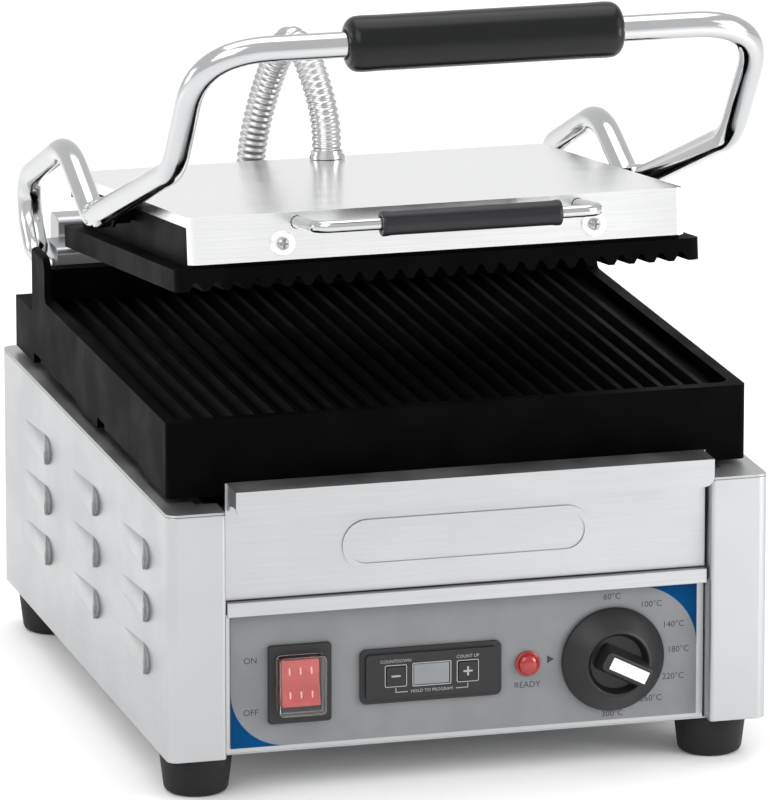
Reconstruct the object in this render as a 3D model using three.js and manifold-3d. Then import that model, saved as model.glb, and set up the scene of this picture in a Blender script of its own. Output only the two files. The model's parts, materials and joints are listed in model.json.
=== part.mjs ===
// Single electric contact grill (panini press): a folded stainless base, two ribbed cast plates,
// and a bent chrome bail that lifts the upper plate about a sprung hinge at the rear.
// Millimetres. X to the right, Y to the rear, Z up. The floor is Z = 0.
import * as THREE from "three";
import { mergeVertices } from "three/addons/utils/BufferGeometryUtils.js";
import Module from "manifold-3d";

const wasm = await Module();
wasm.setup();

// ---- driving dimensions -------------------------------------------------------------------
const GAP = 0.3;                // clearance left between pieces that touch
const SHEET = 1.2;              // stainless sheet thickness

const HALF_WIDTH = 145;         // base, side to centre
const HALF_DEPTH = 168;         // base, front or rear to centre
const FOOT_HEIGHT = 19.8;
const BASE_BOTTOM = 21.2;       // lower edge of the side panels
const BASE_TOP = 139.9;         // upper edge of the side panels
const POST_WIDTH = 28;          // how far each side panel wraps round the front and rear
const RETURN_Y = 150;           // the posts' returns run from here to the front and rear faces
const CORNER_RADIUS = 5;        // outer corners of the base
const FOLD_RADIUS = 2;          // the posts' inner folds
const TOP_FLANGE = 18;

const PANEL_HALF_WIDTH = 116.4; // control panel
const PANEL_Y = -158;           // front face of the control panel sheet
const PANEL_TOP = 88;

const PLATE_BOTTOM = 142.4;     // lower casting
const PLATE_RIM_TOP = 178.3;
const LOWER_RIB_TOP = 176.4;
const RIB_PITCH = 9.79;
const RIB_COUNT = 26;
const LEDGE_TOP = 168;          // rear ledge that carries the hinge housing
const EAR_TOP = 200;
const NOTCH_BOTTOM = 190;

const HINGE_Y = 132;            // lift hinge, an axis along X
const HINGE_Z = 184;
const SHAFT_RADIUS = 5;
const PIVOT_Y = 3;              // upper plate's pivot on the bail, at rest
const PIVOT_Z = 244;
const REST_TILT = THREE.MathUtils.degToRad(7.4); // the upper plate rests with its front edge up

const ARM_X = 133.6;            // centre plane of each side of the bail
const ROD_RADIUS = 6;
const HANDLE_Y = -187;          // crossbar of the bail
const HANDLE_Z = 361;
const HANDLE_GRIP_RADIUS = 13;

const CONDUIT_RADIUS = 7.3;
const GLAND_REAR_Y = 176;       // outer face of the mains cable gland

// The origin is under the middle of the whole object, so the build below is shifted along Y.
const FRONT_MOST_Y = HANDLE_Y - HANDLE_GRIP_RADIUS;
const ORIGIN_SHIFT_Y = -(FRONT_MOST_Y + GLAND_REAR_Y) / 2;

// ---- materials ----------------------------------------------------------------------------
const finish = (color, roughness, metalness, extra = {}) =>
  () => new THREE.MeshStandardMaterial({ color, roughness, metalness, ...extra });
const stainless = finish(0xc9cacb, 0.32, 1);
const chrome = finish(0xe4e6e8, 0.08, 1);
const castIron = finish(0x151616, 0.55, 0.35);
const blackPlastic = finish(0x1b1b1d, 0.42, 0);
const gripRubber = finish(0x222224, 0.5, 0);
const footRubber = finish(0x17181a, 0.7, 0);
const labelFilm = finish(0x87898c, 0.5, 0);
const redPlastic = finish(0xc8201e, 0.3, 0);
const clearPlastic = finish(0xdfe6e2, 0.1, 0, { transparent: true, opacity: 0.35 });
const whitePlastic = finish(0xf1f1ee, 0.4, 0);
const displayGrey = finish(0x8b9299, 0.25, 0);
const elementSheath = finish(0x5a5550, 0.5, 0.8);
const springSteel = finish(0x6f7276, 0.35, 1);
const brass = finish(0xb08d3e, 0.35, 1);
const ceramicBoard = finish(0xe7e2d6, 0.9, 0);

// ---- geometry helpers ---------------------------------------------------------------------
// Turns a closed three.js geometry into a solid for joining and cutting.
function solidOf(geometry) {
  const bare = geometry.clone();
  bare.deleteAttribute("normal");
  bare.deleteAttribute("uv");
  const merged = mergeVertices(bare, 1e-4);
  const corners = merged.index.array;
  const kept = [];
  for (let i = 0; i < corners.length; i += 3) {
    const [a, b, c] = [corners[i], corners[i + 1], corners[i + 2]];
    if (a !== b && b !== c && c !== a) {
      kept.push(a, b, c);
    }
  }
  return new wasm.Manifold(new wasm.Mesh({
    numProp: 3,
    vertProperties: new Float32Array(merged.attributes.position.array),
    triVerts: new Uint32Array(kept),
  }));
}

function geometryOf(solid) {
  const mesh = solid.getMesh();
  const geometry = new THREE.BufferGeometry();
  geometry.setAttribute("position", new THREE.BufferAttribute(new Float32Array(mesh.vertProperties), 3));
  geometry.setIndex(new THREE.BufferAttribute(new Uint32Array(mesh.triVerts), 1));
  geometry.computeVertexNormals();
  return geometry;
}

const join = (first, ...others) => others.reduce((sum, solid) => sum.add(solid), first);
const cut = (first, ...others) => others.reduce((rest, solid) => rest.subtract(solid), first);

// A block between two values on each axis, given in either order.
function block(xa, xb, ya, yb, za, zb) {
  const geometry = new THREE.BoxGeometry(Math.abs(xb - xa), Math.abs(yb - ya), Math.abs(zb - za));
  geometry.translate((xa + xb) / 2, (ya + yb) / 2, (za + zb) / 2);
  return solidOf(geometry);
}

// A shape drawn in the plane across an axis and pulled along it between two values.
// Across X it is drawn in (y, z), across Y in (x, z) and across Z in (x, y).
function prism(shape, axis, from, to, curveSegments = 4) {
  const depth = Math.abs(to - from);
  const geometry = new THREE.ExtrudeGeometry(shape, { depth, bevelEnabled: false, curveSegments });
  if (axis === "x") {
    geometry.applyMatrix4(new THREE.Matrix4().set(0, 0, 1, 0, 1, 0, 0, 0, 0, 1, 0, 0, 0, 0, 0, 1));
    geometry.translate(Math.min(from, to), 0, 0);
  } else if (axis === "y") {
    geometry.rotateX(Math.PI / 2);
    geometry.translate(0, Math.max(from, to), 0);
  } else {
    geometry.translate(0, 0, Math.min(from, to));
  }
  return solidOf(geometry);
}

// A round bar along an axis, centred on the other two coordinates, in axis order.
function bar(axis, radius, from, to, [first, second], segments = 20) {
  const geometry = new THREE.CylinderGeometry(radius, radius, Math.abs(to - from), segments);
  const middle = (from + to) / 2;
  if (axis === "x") {
    geometry.rotateZ(-Math.PI / 2);
    geometry.translate(middle, first, second);
  } else if (axis === "y") {
    geometry.translate(first, middle, second);
  } else {
    geometry.rotateX(Math.PI / 2);
    geometry.translate(first, second, middle);
  }
  return solidOf(geometry);
}

// A turned piece about the Z axis from (radius, z) pairs.
function turned(profile, segments = 24) {
  const points = profile.map(([radius, z]) => new THREE.Vector2(radius, z));
  const geometry = new THREE.LatheGeometry(points, segments);
  geometry.rotateX(Math.PI / 2);
  return geometry;
}

function roundedRect(x0, x1, y0, y1, radius) {
  const shape = new THREE.Shape();
  shape.moveTo(x0 + radius, y0);
  shape.lineTo(x1 - radius, y0);
  shape.absarc(x1 - radius, y0 + radius, radius, -Math.PI / 2, 0, false);
  shape.lineTo(x1, y1 - radius);
  shape.absarc(x1 - radius, y1 - radius, radius, 0, Math.PI / 2, false);
  shape.lineTo(x0 + radius, y1);
  shape.absarc(x0 + radius, y1 - radius, radius, Math.PI / 2, Math.PI, false);
  shape.lineTo(x0, y0 + radius);
  shape.absarc(x0 + radius, y0 + radius, radius, Math.PI, 1.5 * Math.PI, false);
  return shape;
}

// A row of V ribs along Y, seen from the front: teeth from `root` to `tip` on a flat backing.
function ribOutline(root, tip, backing) {
  const span = (RIB_COUNT * RIB_PITCH) / 2;
  const shape = new THREE.Shape();
  shape.moveTo(-span, backing);
  for (let i = 0; i < RIB_COUNT; i += 1) {
    const middle = (i - (RIB_COUNT - 1) / 2) * RIB_PITCH;
    shape.lineTo(middle - 0.42 * RIB_PITCH, root);
    shape.lineTo(middle - 0.14 * RIB_PITCH, tip);
    shape.lineTo(middle + 0.14 * RIB_PITCH, tip);
    shape.lineTo(middle + 0.42 * RIB_PITCH, root);
  }
  shape.lineTo(span, backing);
  return shape;
}

// A centre line through corner points with an arc of its own radius at each inner corner.
function bentLine(corners, radii) {
  const path = new THREE.CurvePath();
  let start = corners[0].clone();
  for (let i = 1; i < corners.length - 1; i += 1) {
    const corner = corners[i];
    const inward = corner.clone().sub(corners[i - 1]).normalize();
    const onward = corners[i + 1].clone().sub(corner).normalize();
    const reach = radii[i - 1] * Math.tan(inward.angleTo(onward) / 2);
    const before = corner.clone().addScaledVector(inward, -reach);
    const after = corner.clone().addScaledVector(onward, reach);
    path.add(new THREE.LineCurve3(start, before));
    path.add(new THREE.QuadraticBezierCurve3(before, corner.clone(), after));
    start = after;
  }
  path.add(new THREE.LineCurve3(start, corners[corners.length - 1].clone()));
  return path;
}

// A round rod swept along a curve.
function rodAlong(curve, radius, steps, sides) {
  const section = new THREE.Shape();
  for (let i = 0; i < sides; i += 1) {
    const angle = (2 * Math.PI * i) / sides;
    const point = [radius * Math.cos(angle), radius * Math.sin(angle)];
    if (i === 0) {
      section.moveTo(...point);
    } else {
      section.lineTo(...point);
    }
  }
  return new THREE.ExtrudeGeometry(section, { steps, bevelEnabled: false, extrudePath: curve });
}

const point = (x, y, z) => new THREE.Vector3(x, y, z);

// ---- the assembly -------------------------------------------------------------------------
const press = new THREE.Group();
press.position.y = ORIGIN_SHIFT_Y;

function place(name, shape, material, parent = press) {
  const geometry = shape.isBufferGeometry ? shape : geometryOf(shape);
  const mesh = new THREE.Mesh(geometry, material());
  mesh.name = name;
  parent.add(mesh);
  return mesh;
}

const SIDES = [["left", -1], ["right", 1]];

// ---- base: folded sheet -------------------------------------------------------------------
const LOUVRE = { length: 41, nose: 12, halfHeight: 7.4, rise: 3.5, wall: 1 };
const LOUVRE_MOUTHS_Y = [-120.5, -21.5, 77.5];
const LOUVRE_ROWS_Z = [59.5, 84.8, 110.1];

// A low blister on a side wall, highest at its blunt front end and fading out to the rear.
function louvreBlister(side, y, z, { length, nose, halfHeight, rise }, inward) {
  const faceX = side * HALF_WIDTH;
  const [from, to] = [faceX - side * inward, faceX + side * rise];
  const geometry = new THREE.SphereGeometry(1, 12, 8);
  geometry.rotateX(Math.PI / 2);
  geometry.scale(rise, length + nose, halfHeight);
  geometry.translate(faceX, y - nose, z);
  const frontEnd = new THREE.Shape();
  frontEnd.absellipse(y, z, nose, halfHeight, 0, 2 * Math.PI, false, 0);
  const reach = join(
    block(from, to, y, y + length, z - halfHeight, z + halfHeight),
    prism(frontEnd, "x", from, to, 4),
  );
  return solidOf(geometry).intersect(reach);
}

// The vent under a blister, open at the lip of its front end.
function louvreVent(side, y, z) {
  const { length, nose, halfHeight, rise, wall } = LOUVRE;
  return louvreBlister(side, y - 0.4, z, {
    length: length - wall, nose: nose + 0.2, halfHeight: halfHeight - wall, rise: rise - wall,
  }, SHEET + 1);
}

function sidePanel(side) {
  const outerX = side * HALF_WIDTH;
  const innerX = side * (HALF_WIDTH - POST_WIDTH);
  const middleX = (outerX + innerX) / 2;
  // The panel's plan, inset from its outer face, with tighter corners at the posts' inner folds.
  const plan = (inset, bottom, top) => {
    const [nearX, farX] = [outerX - side * inset, innerX + side * inset];
    const reach = HALF_DEPTH - inset;
    const outerCorners = roundedRect(
      Math.min(nearX, farX), Math.max(nearX, farX), -reach, reach, CORNER_RADIUS - inset);
    const innerFolds = roundedRect(
      Math.min(middleX, farX), Math.max(middleX, farX), -reach, reach, FOLD_RADIUS - inset);
    return join(prism(outerCorners, "z", bottom, top), prism(innerFolds, "z", bottom, top));
  };
  const sheetEdgeX = innerX - side;
  const returnX = innerX + side * 4;
  const flangeEdgeX = side * (HALF_WIDTH - TOP_FLANGE);
  const flangeBottom = BASE_TOP - SHEET;
  let panel = cut(
    plan(0, BASE_BOTTOM, BASE_TOP),
    plan(SHEET, BASE_BOTTOM - 1, flangeBottom),
    block(returnX, sheetEdgeX, -RETURN_Y, RETURN_Y, BASE_BOTTOM - 1, flangeBottom),
    block(flangeEdgeX, sheetEdgeX, -RETURN_Y, RETURN_Y, flangeBottom - 1, BASE_TOP + 1),
  );
  for (const y of LOUVRE_MOUTHS_Y) {
    for (const z of LOUVRE_ROWS_Z) {
      panel = panel.add(louvreBlister(side, y, z, LOUVRE, SHEET));
      panel = panel.subtract(louvreVent(side, y, z));
    }
  }
  return panel;
}

for (const [word, side] of SIDES) {
  place(`${word}_side_panel`, sidePanel(side), stainless);
}

const MAINS_GLAND = { x: -80, z: 46, hole: 8.3 };
const REAR_PANEL_HALF_WIDTH = HALF_WIDTH - POST_WIDTH - GAP;

function rearPanel() {
  const reach = REAR_PANEL_HALF_WIDTH;
  let panel = block(-reach, reach, HALF_DEPTH - SHEET, HALF_DEPTH, BASE_BOTTOM + GAP, BASE_TOP - GAP);
  panel = panel.subtract(bar("y", MAINS_GLAND.hole, 160, 170, [MAINS_GLAND.x, MAINS_GLAND.z]));
  for (let i = 0; i < 8; i += 1) {
    const x = -70 + 20 * i;
    panel = panel.subtract(block(x - 2.5, x + 2.5, 160, 170, 84, 118));
  }
  return panel;
}
place("rear_panel", rearPanel(), stainless);

function bottomPlate() {
  let plate = block(-143, 143, -157, 166, 20, 21);
  for (let i = 0; i < 8; i += 1) {
    const x = -84 + 24 * i;
    plate = plate.subtract(block(x - 3, x + 3, 30, 90, 19, 22));
  }
  return plate;
}
place("bottom_plate", bottomPlate(), stainless);

const FOOT_X = 125.3;
const FOOT_PLACES_Y = [["front", -141], ["rear", 145]];
for (const [endWord, y] of FOOT_PLACES_Y) {
  for (const [sideWord, side] of SIDES) {
    const profile = [
      [0, 0], [12.5, 0], [14.6, 1.2], [15.3, 3.4], [17.4, FOOT_HEIGHT], [0, FOOT_HEIGHT],
    ];
    const foot = place(`foot_${endWord}_${sideWord}`, turned(profile, 20), footRubber);
    foot.position.set(side * FOOT_X, y, 0);
  }
}

// ---- control panel ------------------------------------------------------------------------
const ROCKER = { x: -80.2, z: 53.3, width: 30.3, height: 37.8 };
const TIMER = { x: -17, z: 53.6, width: 68.4, height: 26.4 };
const LAMP = { x: 30.3, z: 54.1, radius: 5 };
const KNOB = { x: 71.5, z: 53.5, radius: 25, pointerAngle: THREE.MathUtils.degToRad(-27) };
const LABEL_FRONT_Y = PANEL_Y - 0.7;
const PANEL_BACK_Y = PANEL_Y + SHEET;

// Openings for the switch, timer, lamp and thermostat shaft.
function cutPanelOpenings(sheet) {
  return cut(
    sheet,
    block(ROCKER.x - 12.3, ROCKER.x + 12.3, -165, -150, ROCKER.z - 16.3, ROCKER.z + 16.3),
    block(TIMER.x - 30.3, TIMER.x + 30.3, -165, -150, TIMER.z - 10.3, TIMER.z + 10.3),
    bar("y", LAMP.radius + GAP, -165, -150, [LAMP.x, LAMP.z]),
    bar("y", 4.3, -165, -150, [KNOB.x, KNOB.z]),
  );
}

place("control_panel", cutPanelOpenings(join(
  block(-PANEL_HALF_WIDTH, PANEL_HALF_WIDTH, PANEL_Y, PANEL_BACK_Y, BASE_BOTTOM, PANEL_TOP),
  block(-PANEL_HALF_WIDTH, PANEL_HALF_WIDTH, PANEL_Y, -146, BASE_BOTTOM, BASE_BOTTOM + SHEET),
)), stainless);
place("panel_label", cutPanelOpenings(
  block(-113, 113, LABEL_FRONT_Y, PANEL_Y - GAP, 23.4, PANEL_TOP - 0.6),
), labelFilm);

// A bent rail over the panel whose top carries the drip tray.
place("tray_shelf", join(
  block(-116, 116, -165, -165 + SHEET, 88.4, 95.4),
  block(-116, 116, -165, -48, 95.4 - SHEET, 95.4),
), stainless);

function rockerSwitchBody() {
  const bezel = roundedRect(
    ROCKER.x - ROCKER.width / 2, ROCKER.x + ROCKER.width / 2,
    ROCKER.z - ROCKER.height / 2, ROCKER.z + ROCKER.height / 2, 1.5);
  return cut(
    join(
      prism(bezel, "y", LABEL_FRONT_Y - GAP - 2.2, LABEL_FRONT_Y - GAP, 2),
      block(ROCKER.x - 12, ROCKER.x + 12, LABEL_FRONT_Y - 1, -134, ROCKER.z - 16, ROCKER.z + 16),
      block(ROCKER.x - 3, ROCKER.x + 3, -134, -126, ROCKER.z - 9, ROCKER.z - 8),
      block(ROCKER.x - 3, ROCKER.x + 3, -134, -126, ROCKER.z + 8, ROCKER.z + 9),
    ),
    block(ROCKER.x - 9.8, ROCKER.x + 9.8, -165, -148, ROCKER.z - 13.2, ROCKER.z + 13.2),
  );
}
place("rocker_switch_body", rockerSwitchBody(), blackPlastic);

// The rocker is see-sawed 8 degrees each side of square; at rest its upper end is pressed in.
const ROCKER_PIVOT_Y = -157.5;
const rockerGroup = new THREE.Group();
rockerGroup.position.set(ROCKER.x, ROCKER_PIVOT_Y, ROCKER.z);
rockerGroup.rotation.x = THREE.MathUtils.degToRad(-8);
press.add(rockerGroup);
const rockerProfile = new THREE.Shape();
rockerProfile.moveTo(4, -9);
rockerProfile.lineTo(4, 9);
rockerProfile.lineTo(-1, 11);
rockerProfile.lineTo(-5.4, 11);
rockerProfile.quadraticCurveTo(-3.4, 0, -5.4, -11);
rockerProfile.lineTo(-1, -11);
place("rocker_key", prism(rockerProfile, "x", -9.1, 9.1), redPlastic, rockerGroup);

function rockerCover() {
  const front = -167;
  const back = LABEL_FRONT_Y - 2 * GAP - 2.2;
  const outline = (grow) => roundedRect(
    ROCKER.x - 11.4 - grow, ROCKER.x + 11.4 + grow, ROCKER.z - 14.3 - grow, ROCKER.z + 14.3 + grow,
    2 + grow);
  return cut(
    prism(outline(0), "y", front, back, 3),
    prism(outline(-0.7), "y", front + 0.7, back + 1, 3),
  );
}
place("rocker_clear_cover", rockerCover(), clearPlastic);

// Timer: a bevelled fascia with a body behind, a display and two short-travel keys.
const TIMER_FRONT_Y = LABEL_FRONT_Y - 3.4;
const TIMER_KEYS = [["minus", -34.4], ["plus", 0.4]];
const KEY_HALF = 4.6;
const DISPLAY_HALF = { width: 8.6, height: 5 };

function timerCase() {
  const base = roundedRect(
    TIMER.x - TIMER.width / 2, TIMER.x + TIMER.width / 2,
    TIMER.z - TIMER.height / 2, TIMER.z + TIMER.height / 2, 3);
  const face = roundedRect(
    TIMER.x - TIMER.width / 2 + 2.4, TIMER.x + TIMER.width / 2 - 2.4,
    TIMER.z - TIMER.height / 2 + 2.4, TIMER.z + TIMER.height / 2 - 2.4, 2);
  let body = join(
    prism(base, "y", LABEL_FRONT_Y - GAP - 1.6, LABEL_FRONT_Y - GAP, 2),
    prism(face, "y", TIMER_FRONT_Y, LABEL_FRONT_Y - 1, 2),
    block(TIMER.x - 30, TIMER.x + 30, LABEL_FRONT_Y - 1, -142, TIMER.z - 10, TIMER.z + 10),
  );
  for (const [, x] of TIMER_KEYS) {
    const half = KEY_HALF + GAP;
    body = body.subtract(block(x - half, x + half, -170, -156, TIMER.z - half, TIMER.z + half));
  }
  const { width, height } = DISPLAY_HALF;
  return body.subtract(block(
    TIMER.x - width - GAP, TIMER.x + width + GAP, -170, TIMER_FRONT_Y + 2,
    TIMER.z - height - GAP, TIMER.z + height + GAP));
}
place("timer_case", timerCase(), blackPlastic);
place("timer_display", block(
  TIMER.x - DISPLAY_HALF.width, TIMER.x + DISPLAY_HALF.width, TIMER_FRONT_Y + 0.3, TIMER_FRONT_Y + 1.7,
  TIMER.z - DISPLAY_HALF.height, TIMER.z + DISPLAY_HALF.height), displayGrey);
for (const [word, x] of TIMER_KEYS) {
  place(`timer_key_${word}`, block(
    x - KEY_HALF, x + KEY_HALF, TIMER_FRONT_Y - 0.4, -157.3, TIMER.z - KEY_HALF, TIMER.z + KEY_HALF,
  ), blackPlastic);
}

// Ready lamp: a domed red lens on a collar, with its holder behind the panel.
const lampProfile = [
  [0, -12], [4.2, -12], [4.2, -1], [LAMP.radius, -1], [LAMP.radius, 0.9],
  [6, 0.9], [6, 2.4], [4.9, 3.6], [3.4, 4.6], [1.7, 5.2], [0, 5.4],
];
const lamp = place("ready_lamp", turned(lampProfile, 20), redPlastic);
lamp.rotation.x = Math.PI / 2;
lamp.position.set(LAMP.x, PANEL_Y, LAMP.z);

// Thermostat behind the panel with its shaft, knob, and a sensing bulb under the lower plate.
place("thermostat_body", cut(
  join(
    block(KNOB.x - 18, KNOB.x + 18, -152, -128, KNOB.z - 15, KNOB.z + 15),
    bar("y", 7, PANEL_BACK_Y + GAP, -152, [KNOB.x, KNOB.z], 16),
  ),
  bar("y", 3 + GAP, -165, -134, [KNOB.x, KNOB.z], 16),
), ceramicBoard);
place("thermostat_shaft", bar("y", 3, -168, -136, [KNOB.x, KNOB.z], 16), springSteel);

const knobGroup = new THREE.Group();
knobGroup.position.set(KNOB.x, LABEL_FRONT_Y - 0.9, KNOB.z);
knobGroup.rotation.x = Math.PI / 2;
press.add(knobGroup);
const knobTurn = new THREE.Group();
knobTurn.rotation.z = KNOB.pointerAngle;
knobGroup.add(knobTurn);

// A conical skirt with a dished middle, crossed by a tapered fin that carries the pointer.
const KNOB_HEIGHT = 17;
const KNOB_PROFILE = [
  [0, 0], [KNOB.radius, 0], [KNOB.radius, 1.8], [15.8, 10.6], [14.6, 10.6], [13, 6.5], [0, 6.5],
];
const FIN = { from: -9.5, to: 15.4, rootHalf: 7, topHalf: 4.4 };
const POINTER = { from: -6, to: 13.5, halfWidth: 3, depth: 1.6 };
function knobBody() {
  const finSection = new THREE.Shape();
  finSection.moveTo(-FIN.rootHalf, 5);
  finSection.lineTo(FIN.rootHalf, 5);
  finSection.lineTo(FIN.topHalf, KNOB_HEIGHT);
  finSection.lineTo(-FIN.topHalf, KNOB_HEIGHT);
  return cut(
    join(solidOf(turned(KNOB_PROFILE, 32)), prism(finSection, "x", FIN.from, FIN.to)),
    bar("z", 3 + GAP, -1, 10.5, [0, 0], 16),
    block(POINTER.from - GAP, POINTER.to + GAP, -POINTER.halfWidth - GAP, POINTER.halfWidth + GAP,
      KNOB_HEIGHT - POINTER.depth - GAP, KNOB_HEIGHT + 1),
  );
}
place("thermostat_knob", knobBody(), blackPlastic, knobTurn);
place("knob_pointer", block(
  POINTER.from, POINTER.to, -POINTER.halfWidth, POINTER.halfWidth,
  KNOB_HEIGHT - POINTER.depth, KNOB_HEIGHT + 0.1,
), whitePlastic, knobTurn);

const BULB_Z = 159.6;
place("thermostat_bulb", bar("y", 3, -60, 20, [0, BULB_Z], 12), brass);
const capillaryRoute = bentLine([
  point(KNOB.x, -128 + GAP, KNOB.z), point(KNOB.x, -38, KNOB.z), point(KNOB.x, -38, 136),
  point(0, 40, 150), point(0, 40, BULB_Z), point(0, 20 + GAP, BULB_Z),
], [12, 12, 12, 5, 5]);
place("thermostat_capillary", rodAlong(capillaryRoute, 1.1, 26, 4), brass);

place("terminal_block", join(
  block(-60, 0, 112, 134, 21.3, 34),
  block(-60, 0, 118, 128, 34, 42),
), whitePlastic);

// A cable gland through the rear panel with a clear bore for the mains cord.
const glandProfile = [
  [4.2, -10], [12, -10], [12, -SHEET - GAP], [8, -SHEET - GAP], [8, GAP], [11.5, GAP],
  [11.5, 4], [8, GLAND_REAR_Y - HALF_DEPTH], [4.2, GLAND_REAR_Y - HALF_DEPTH], [4.2, -10],
];
const mainsGland = place("mains_cable_gland", turned(glandProfile, 18), blackPlastic);
mainsGland.rotation.x = -Math.PI / 2;
mainsGland.position.set(MAINS_GLAND.x, HALF_DEPTH, MAINS_GLAND.z);

// ---- drip tray ----------------------------------------------------------------------------
const LIP = { frontY: -178.5, bottom: 138.7, top: 151.8, halfWidth: 115, corner: 5 };
const TRAY_FRONT_Y = -161.2;
const TRAY_HALF_WIDTH = 115.8;
const PAN = { halfWidth: 108, rearY: -50, bottom: 96, top: 126 };

// A flat front with a lip folded forward and down along its top and closed by a tab at each
// end, and a pan behind it.
function dripTray() {
  const frontBack = TRAY_FRONT_Y + SHEET;
  const front = block(-TRAY_HALF_WIDTH, TRAY_HALF_WIDTH, TRAY_FRONT_Y, frontBack, 95.9, LIP.top);
  const lipTop = block(-LIP.halfWidth, LIP.halfWidth, LIP.frontY, frontBack, LIP.top - SHEET, LIP.top);
  const lipFace = roundedRect(
    -LIP.halfWidth, LIP.halfWidth, LIP.bottom, LIP.top + LIP.corner, LIP.corner);
  const lipFront = prism(lipFace, "y", LIP.frontY, LIP.frontY + SHEET, 3)
    .intersect(block(-LIP.halfWidth, LIP.halfWidth, LIP.frontY - 1, 0, LIP.bottom, LIP.top));
  const pan = cut(
    block(-PAN.halfWidth, PAN.halfWidth, TRAY_FRONT_Y, PAN.rearY, PAN.bottom, PAN.top),
    block(-PAN.halfWidth + SHEET, PAN.halfWidth - SHEET, frontBack, PAN.rearY - SHEET,
      PAN.bottom + SHEET, PAN.top + 1),
  );
  const bead = cut(
    prism(roundedRect(-60, 60, 106, 130, 11.9), "y", TRAY_FRONT_Y - 0.8, TRAY_FRONT_Y + 0.2),
    prism(roundedRect(-57, 57, 109, 127, 8.9), "y", TRAY_FRONT_Y - 1, TRAY_FRONT_Y),
  );
  const tab = new THREE.Shape();
  tab.moveTo(LIP.frontY, LIP.top);
  tab.lineTo(LIP.frontY, LIP.bottom + LIP.corner);
  tab.quadraticCurveTo(TRAY_FRONT_Y - 3, LIP.bottom + LIP.corner, TRAY_FRONT_Y, LIP.bottom);
  tab.lineTo(TRAY_FRONT_Y, LIP.top);
  const tabs = SIDES.map(([, side]) =>
    prism(tab, "x", side * (LIP.halfWidth - SHEET), side * LIP.halfWidth));
  return join(front, lipTop, lipFront, pan, bead, ...tabs);
}
place("drip_tray", dripTray(), stainless);

// ---- lower casting ------------------------------------------------------------------------
const CAST = { halfWidth: 140, frontY: -146.8, rearY: 158 };
const EAR = { frontY: 96.5, rearY: 123, width: 3.6, corner: 2.2 };
const WALL_FRONT_Y = 115;
const RECESS_HALF_WIDTH = 121;

// The wall between the ears at the rear of the cooking surface, with a wide notch in its top.
function splashWall() {
  const { halfWidth } = CAST;
  const { corner } = EAR;
  const earX = halfWidth - EAR.width;
  const notchX = earX - 6;
  const outline = new THREE.Shape();
  outline.moveTo(-halfWidth, 160);
  outline.lineTo(halfWidth, 160);
  outline.lineTo(halfWidth, EAR_TOP - corner);
  outline.absarc(halfWidth - corner, EAR_TOP - corner, corner, 0, Math.PI / 2, false);
  outline.lineTo(earX, EAR_TOP);
  outline.lineTo(earX, NOTCH_BOTTOM + 6);
  outline.quadraticCurveTo(earX, NOTCH_BOTTOM, notchX, NOTCH_BOTTOM);
  outline.lineTo(-notchX, NOTCH_BOTTOM);
  outline.quadraticCurveTo(-earX, NOTCH_BOTTOM, -earX, NOTCH_BOTTOM + 6);
  outline.lineTo(-earX, EAR_TOP);
  outline.lineTo(-halfWidth + corner, EAR_TOP);
  outline.absarc(-halfWidth + corner, EAR_TOP - corner, corner, Math.PI / 2, Math.PI, false);
  return prism(outline, "y", WALL_FRONT_Y, EAR.rearY);
}

function ear(side) {
  const profile = new THREE.Shape();
  profile.moveTo(EAR.frontY - 4, 160);
  profile.lineTo(EAR.rearY, 160);
  profile.lineTo(EAR.rearY, EAR_TOP);
  profile.lineTo(EAR.frontY + 8, EAR_TOP);
  profile.quadraticCurveTo(EAR.frontY, EAR_TOP, EAR.frontY, EAR_TOP - 8);
  profile.lineTo(EAR.frontY, PLATE_RIM_TOP + 5);
  profile.quadraticCurveTo(EAR.frontY, PLATE_RIM_TOP, EAR.frontY - 4, PLATE_RIM_TOP);
  const rounded = new THREE.Shape();
  const outerX = side * CAST.halfWidth;
  const innerX = side * (CAST.halfWidth - EAR.width);
  rounded.moveTo(innerX, 160);
  rounded.lineTo(outerX, 160);
  rounded.lineTo(outerX, EAR_TOP - EAR.corner);
  rounded.quadraticCurveTo(outerX, EAR_TOP, outerX - side * EAR.corner, EAR_TOP);
  rounded.lineTo(innerX, EAR_TOP);
  return prism(profile, "x", outerX, innerX)
    .intersect(prism(rounded, "y", EAR.frontY - 10, EAR.rearY + 1));
}

// A long relief in the foot of the casting's side, from a sloping end to a square notch.
function sideRelief(side, frontEnd, rearEnd) {
  const top = PLATE_BOTTOM + 3;
  const profile = new THREE.Shape();
  profile.moveTo(frontEnd, PLATE_BOTTOM - 1);
  profile.quadraticCurveTo(frontEnd + 4, top, frontEnd + 14, top);
  profile.lineTo(rearEnd - 15, top);
  profile.lineTo(rearEnd - 15, top + 2.4);
  profile.lineTo(rearEnd, top + 2.4);
  profile.lineTo(rearEnd, PLATE_BOTTOM - 1);
  return prism(profile, "x", side * 131, side * 141);
}
const SIDE_RELIEFS_Y = [[-107, -11], [24, 120]];

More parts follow.
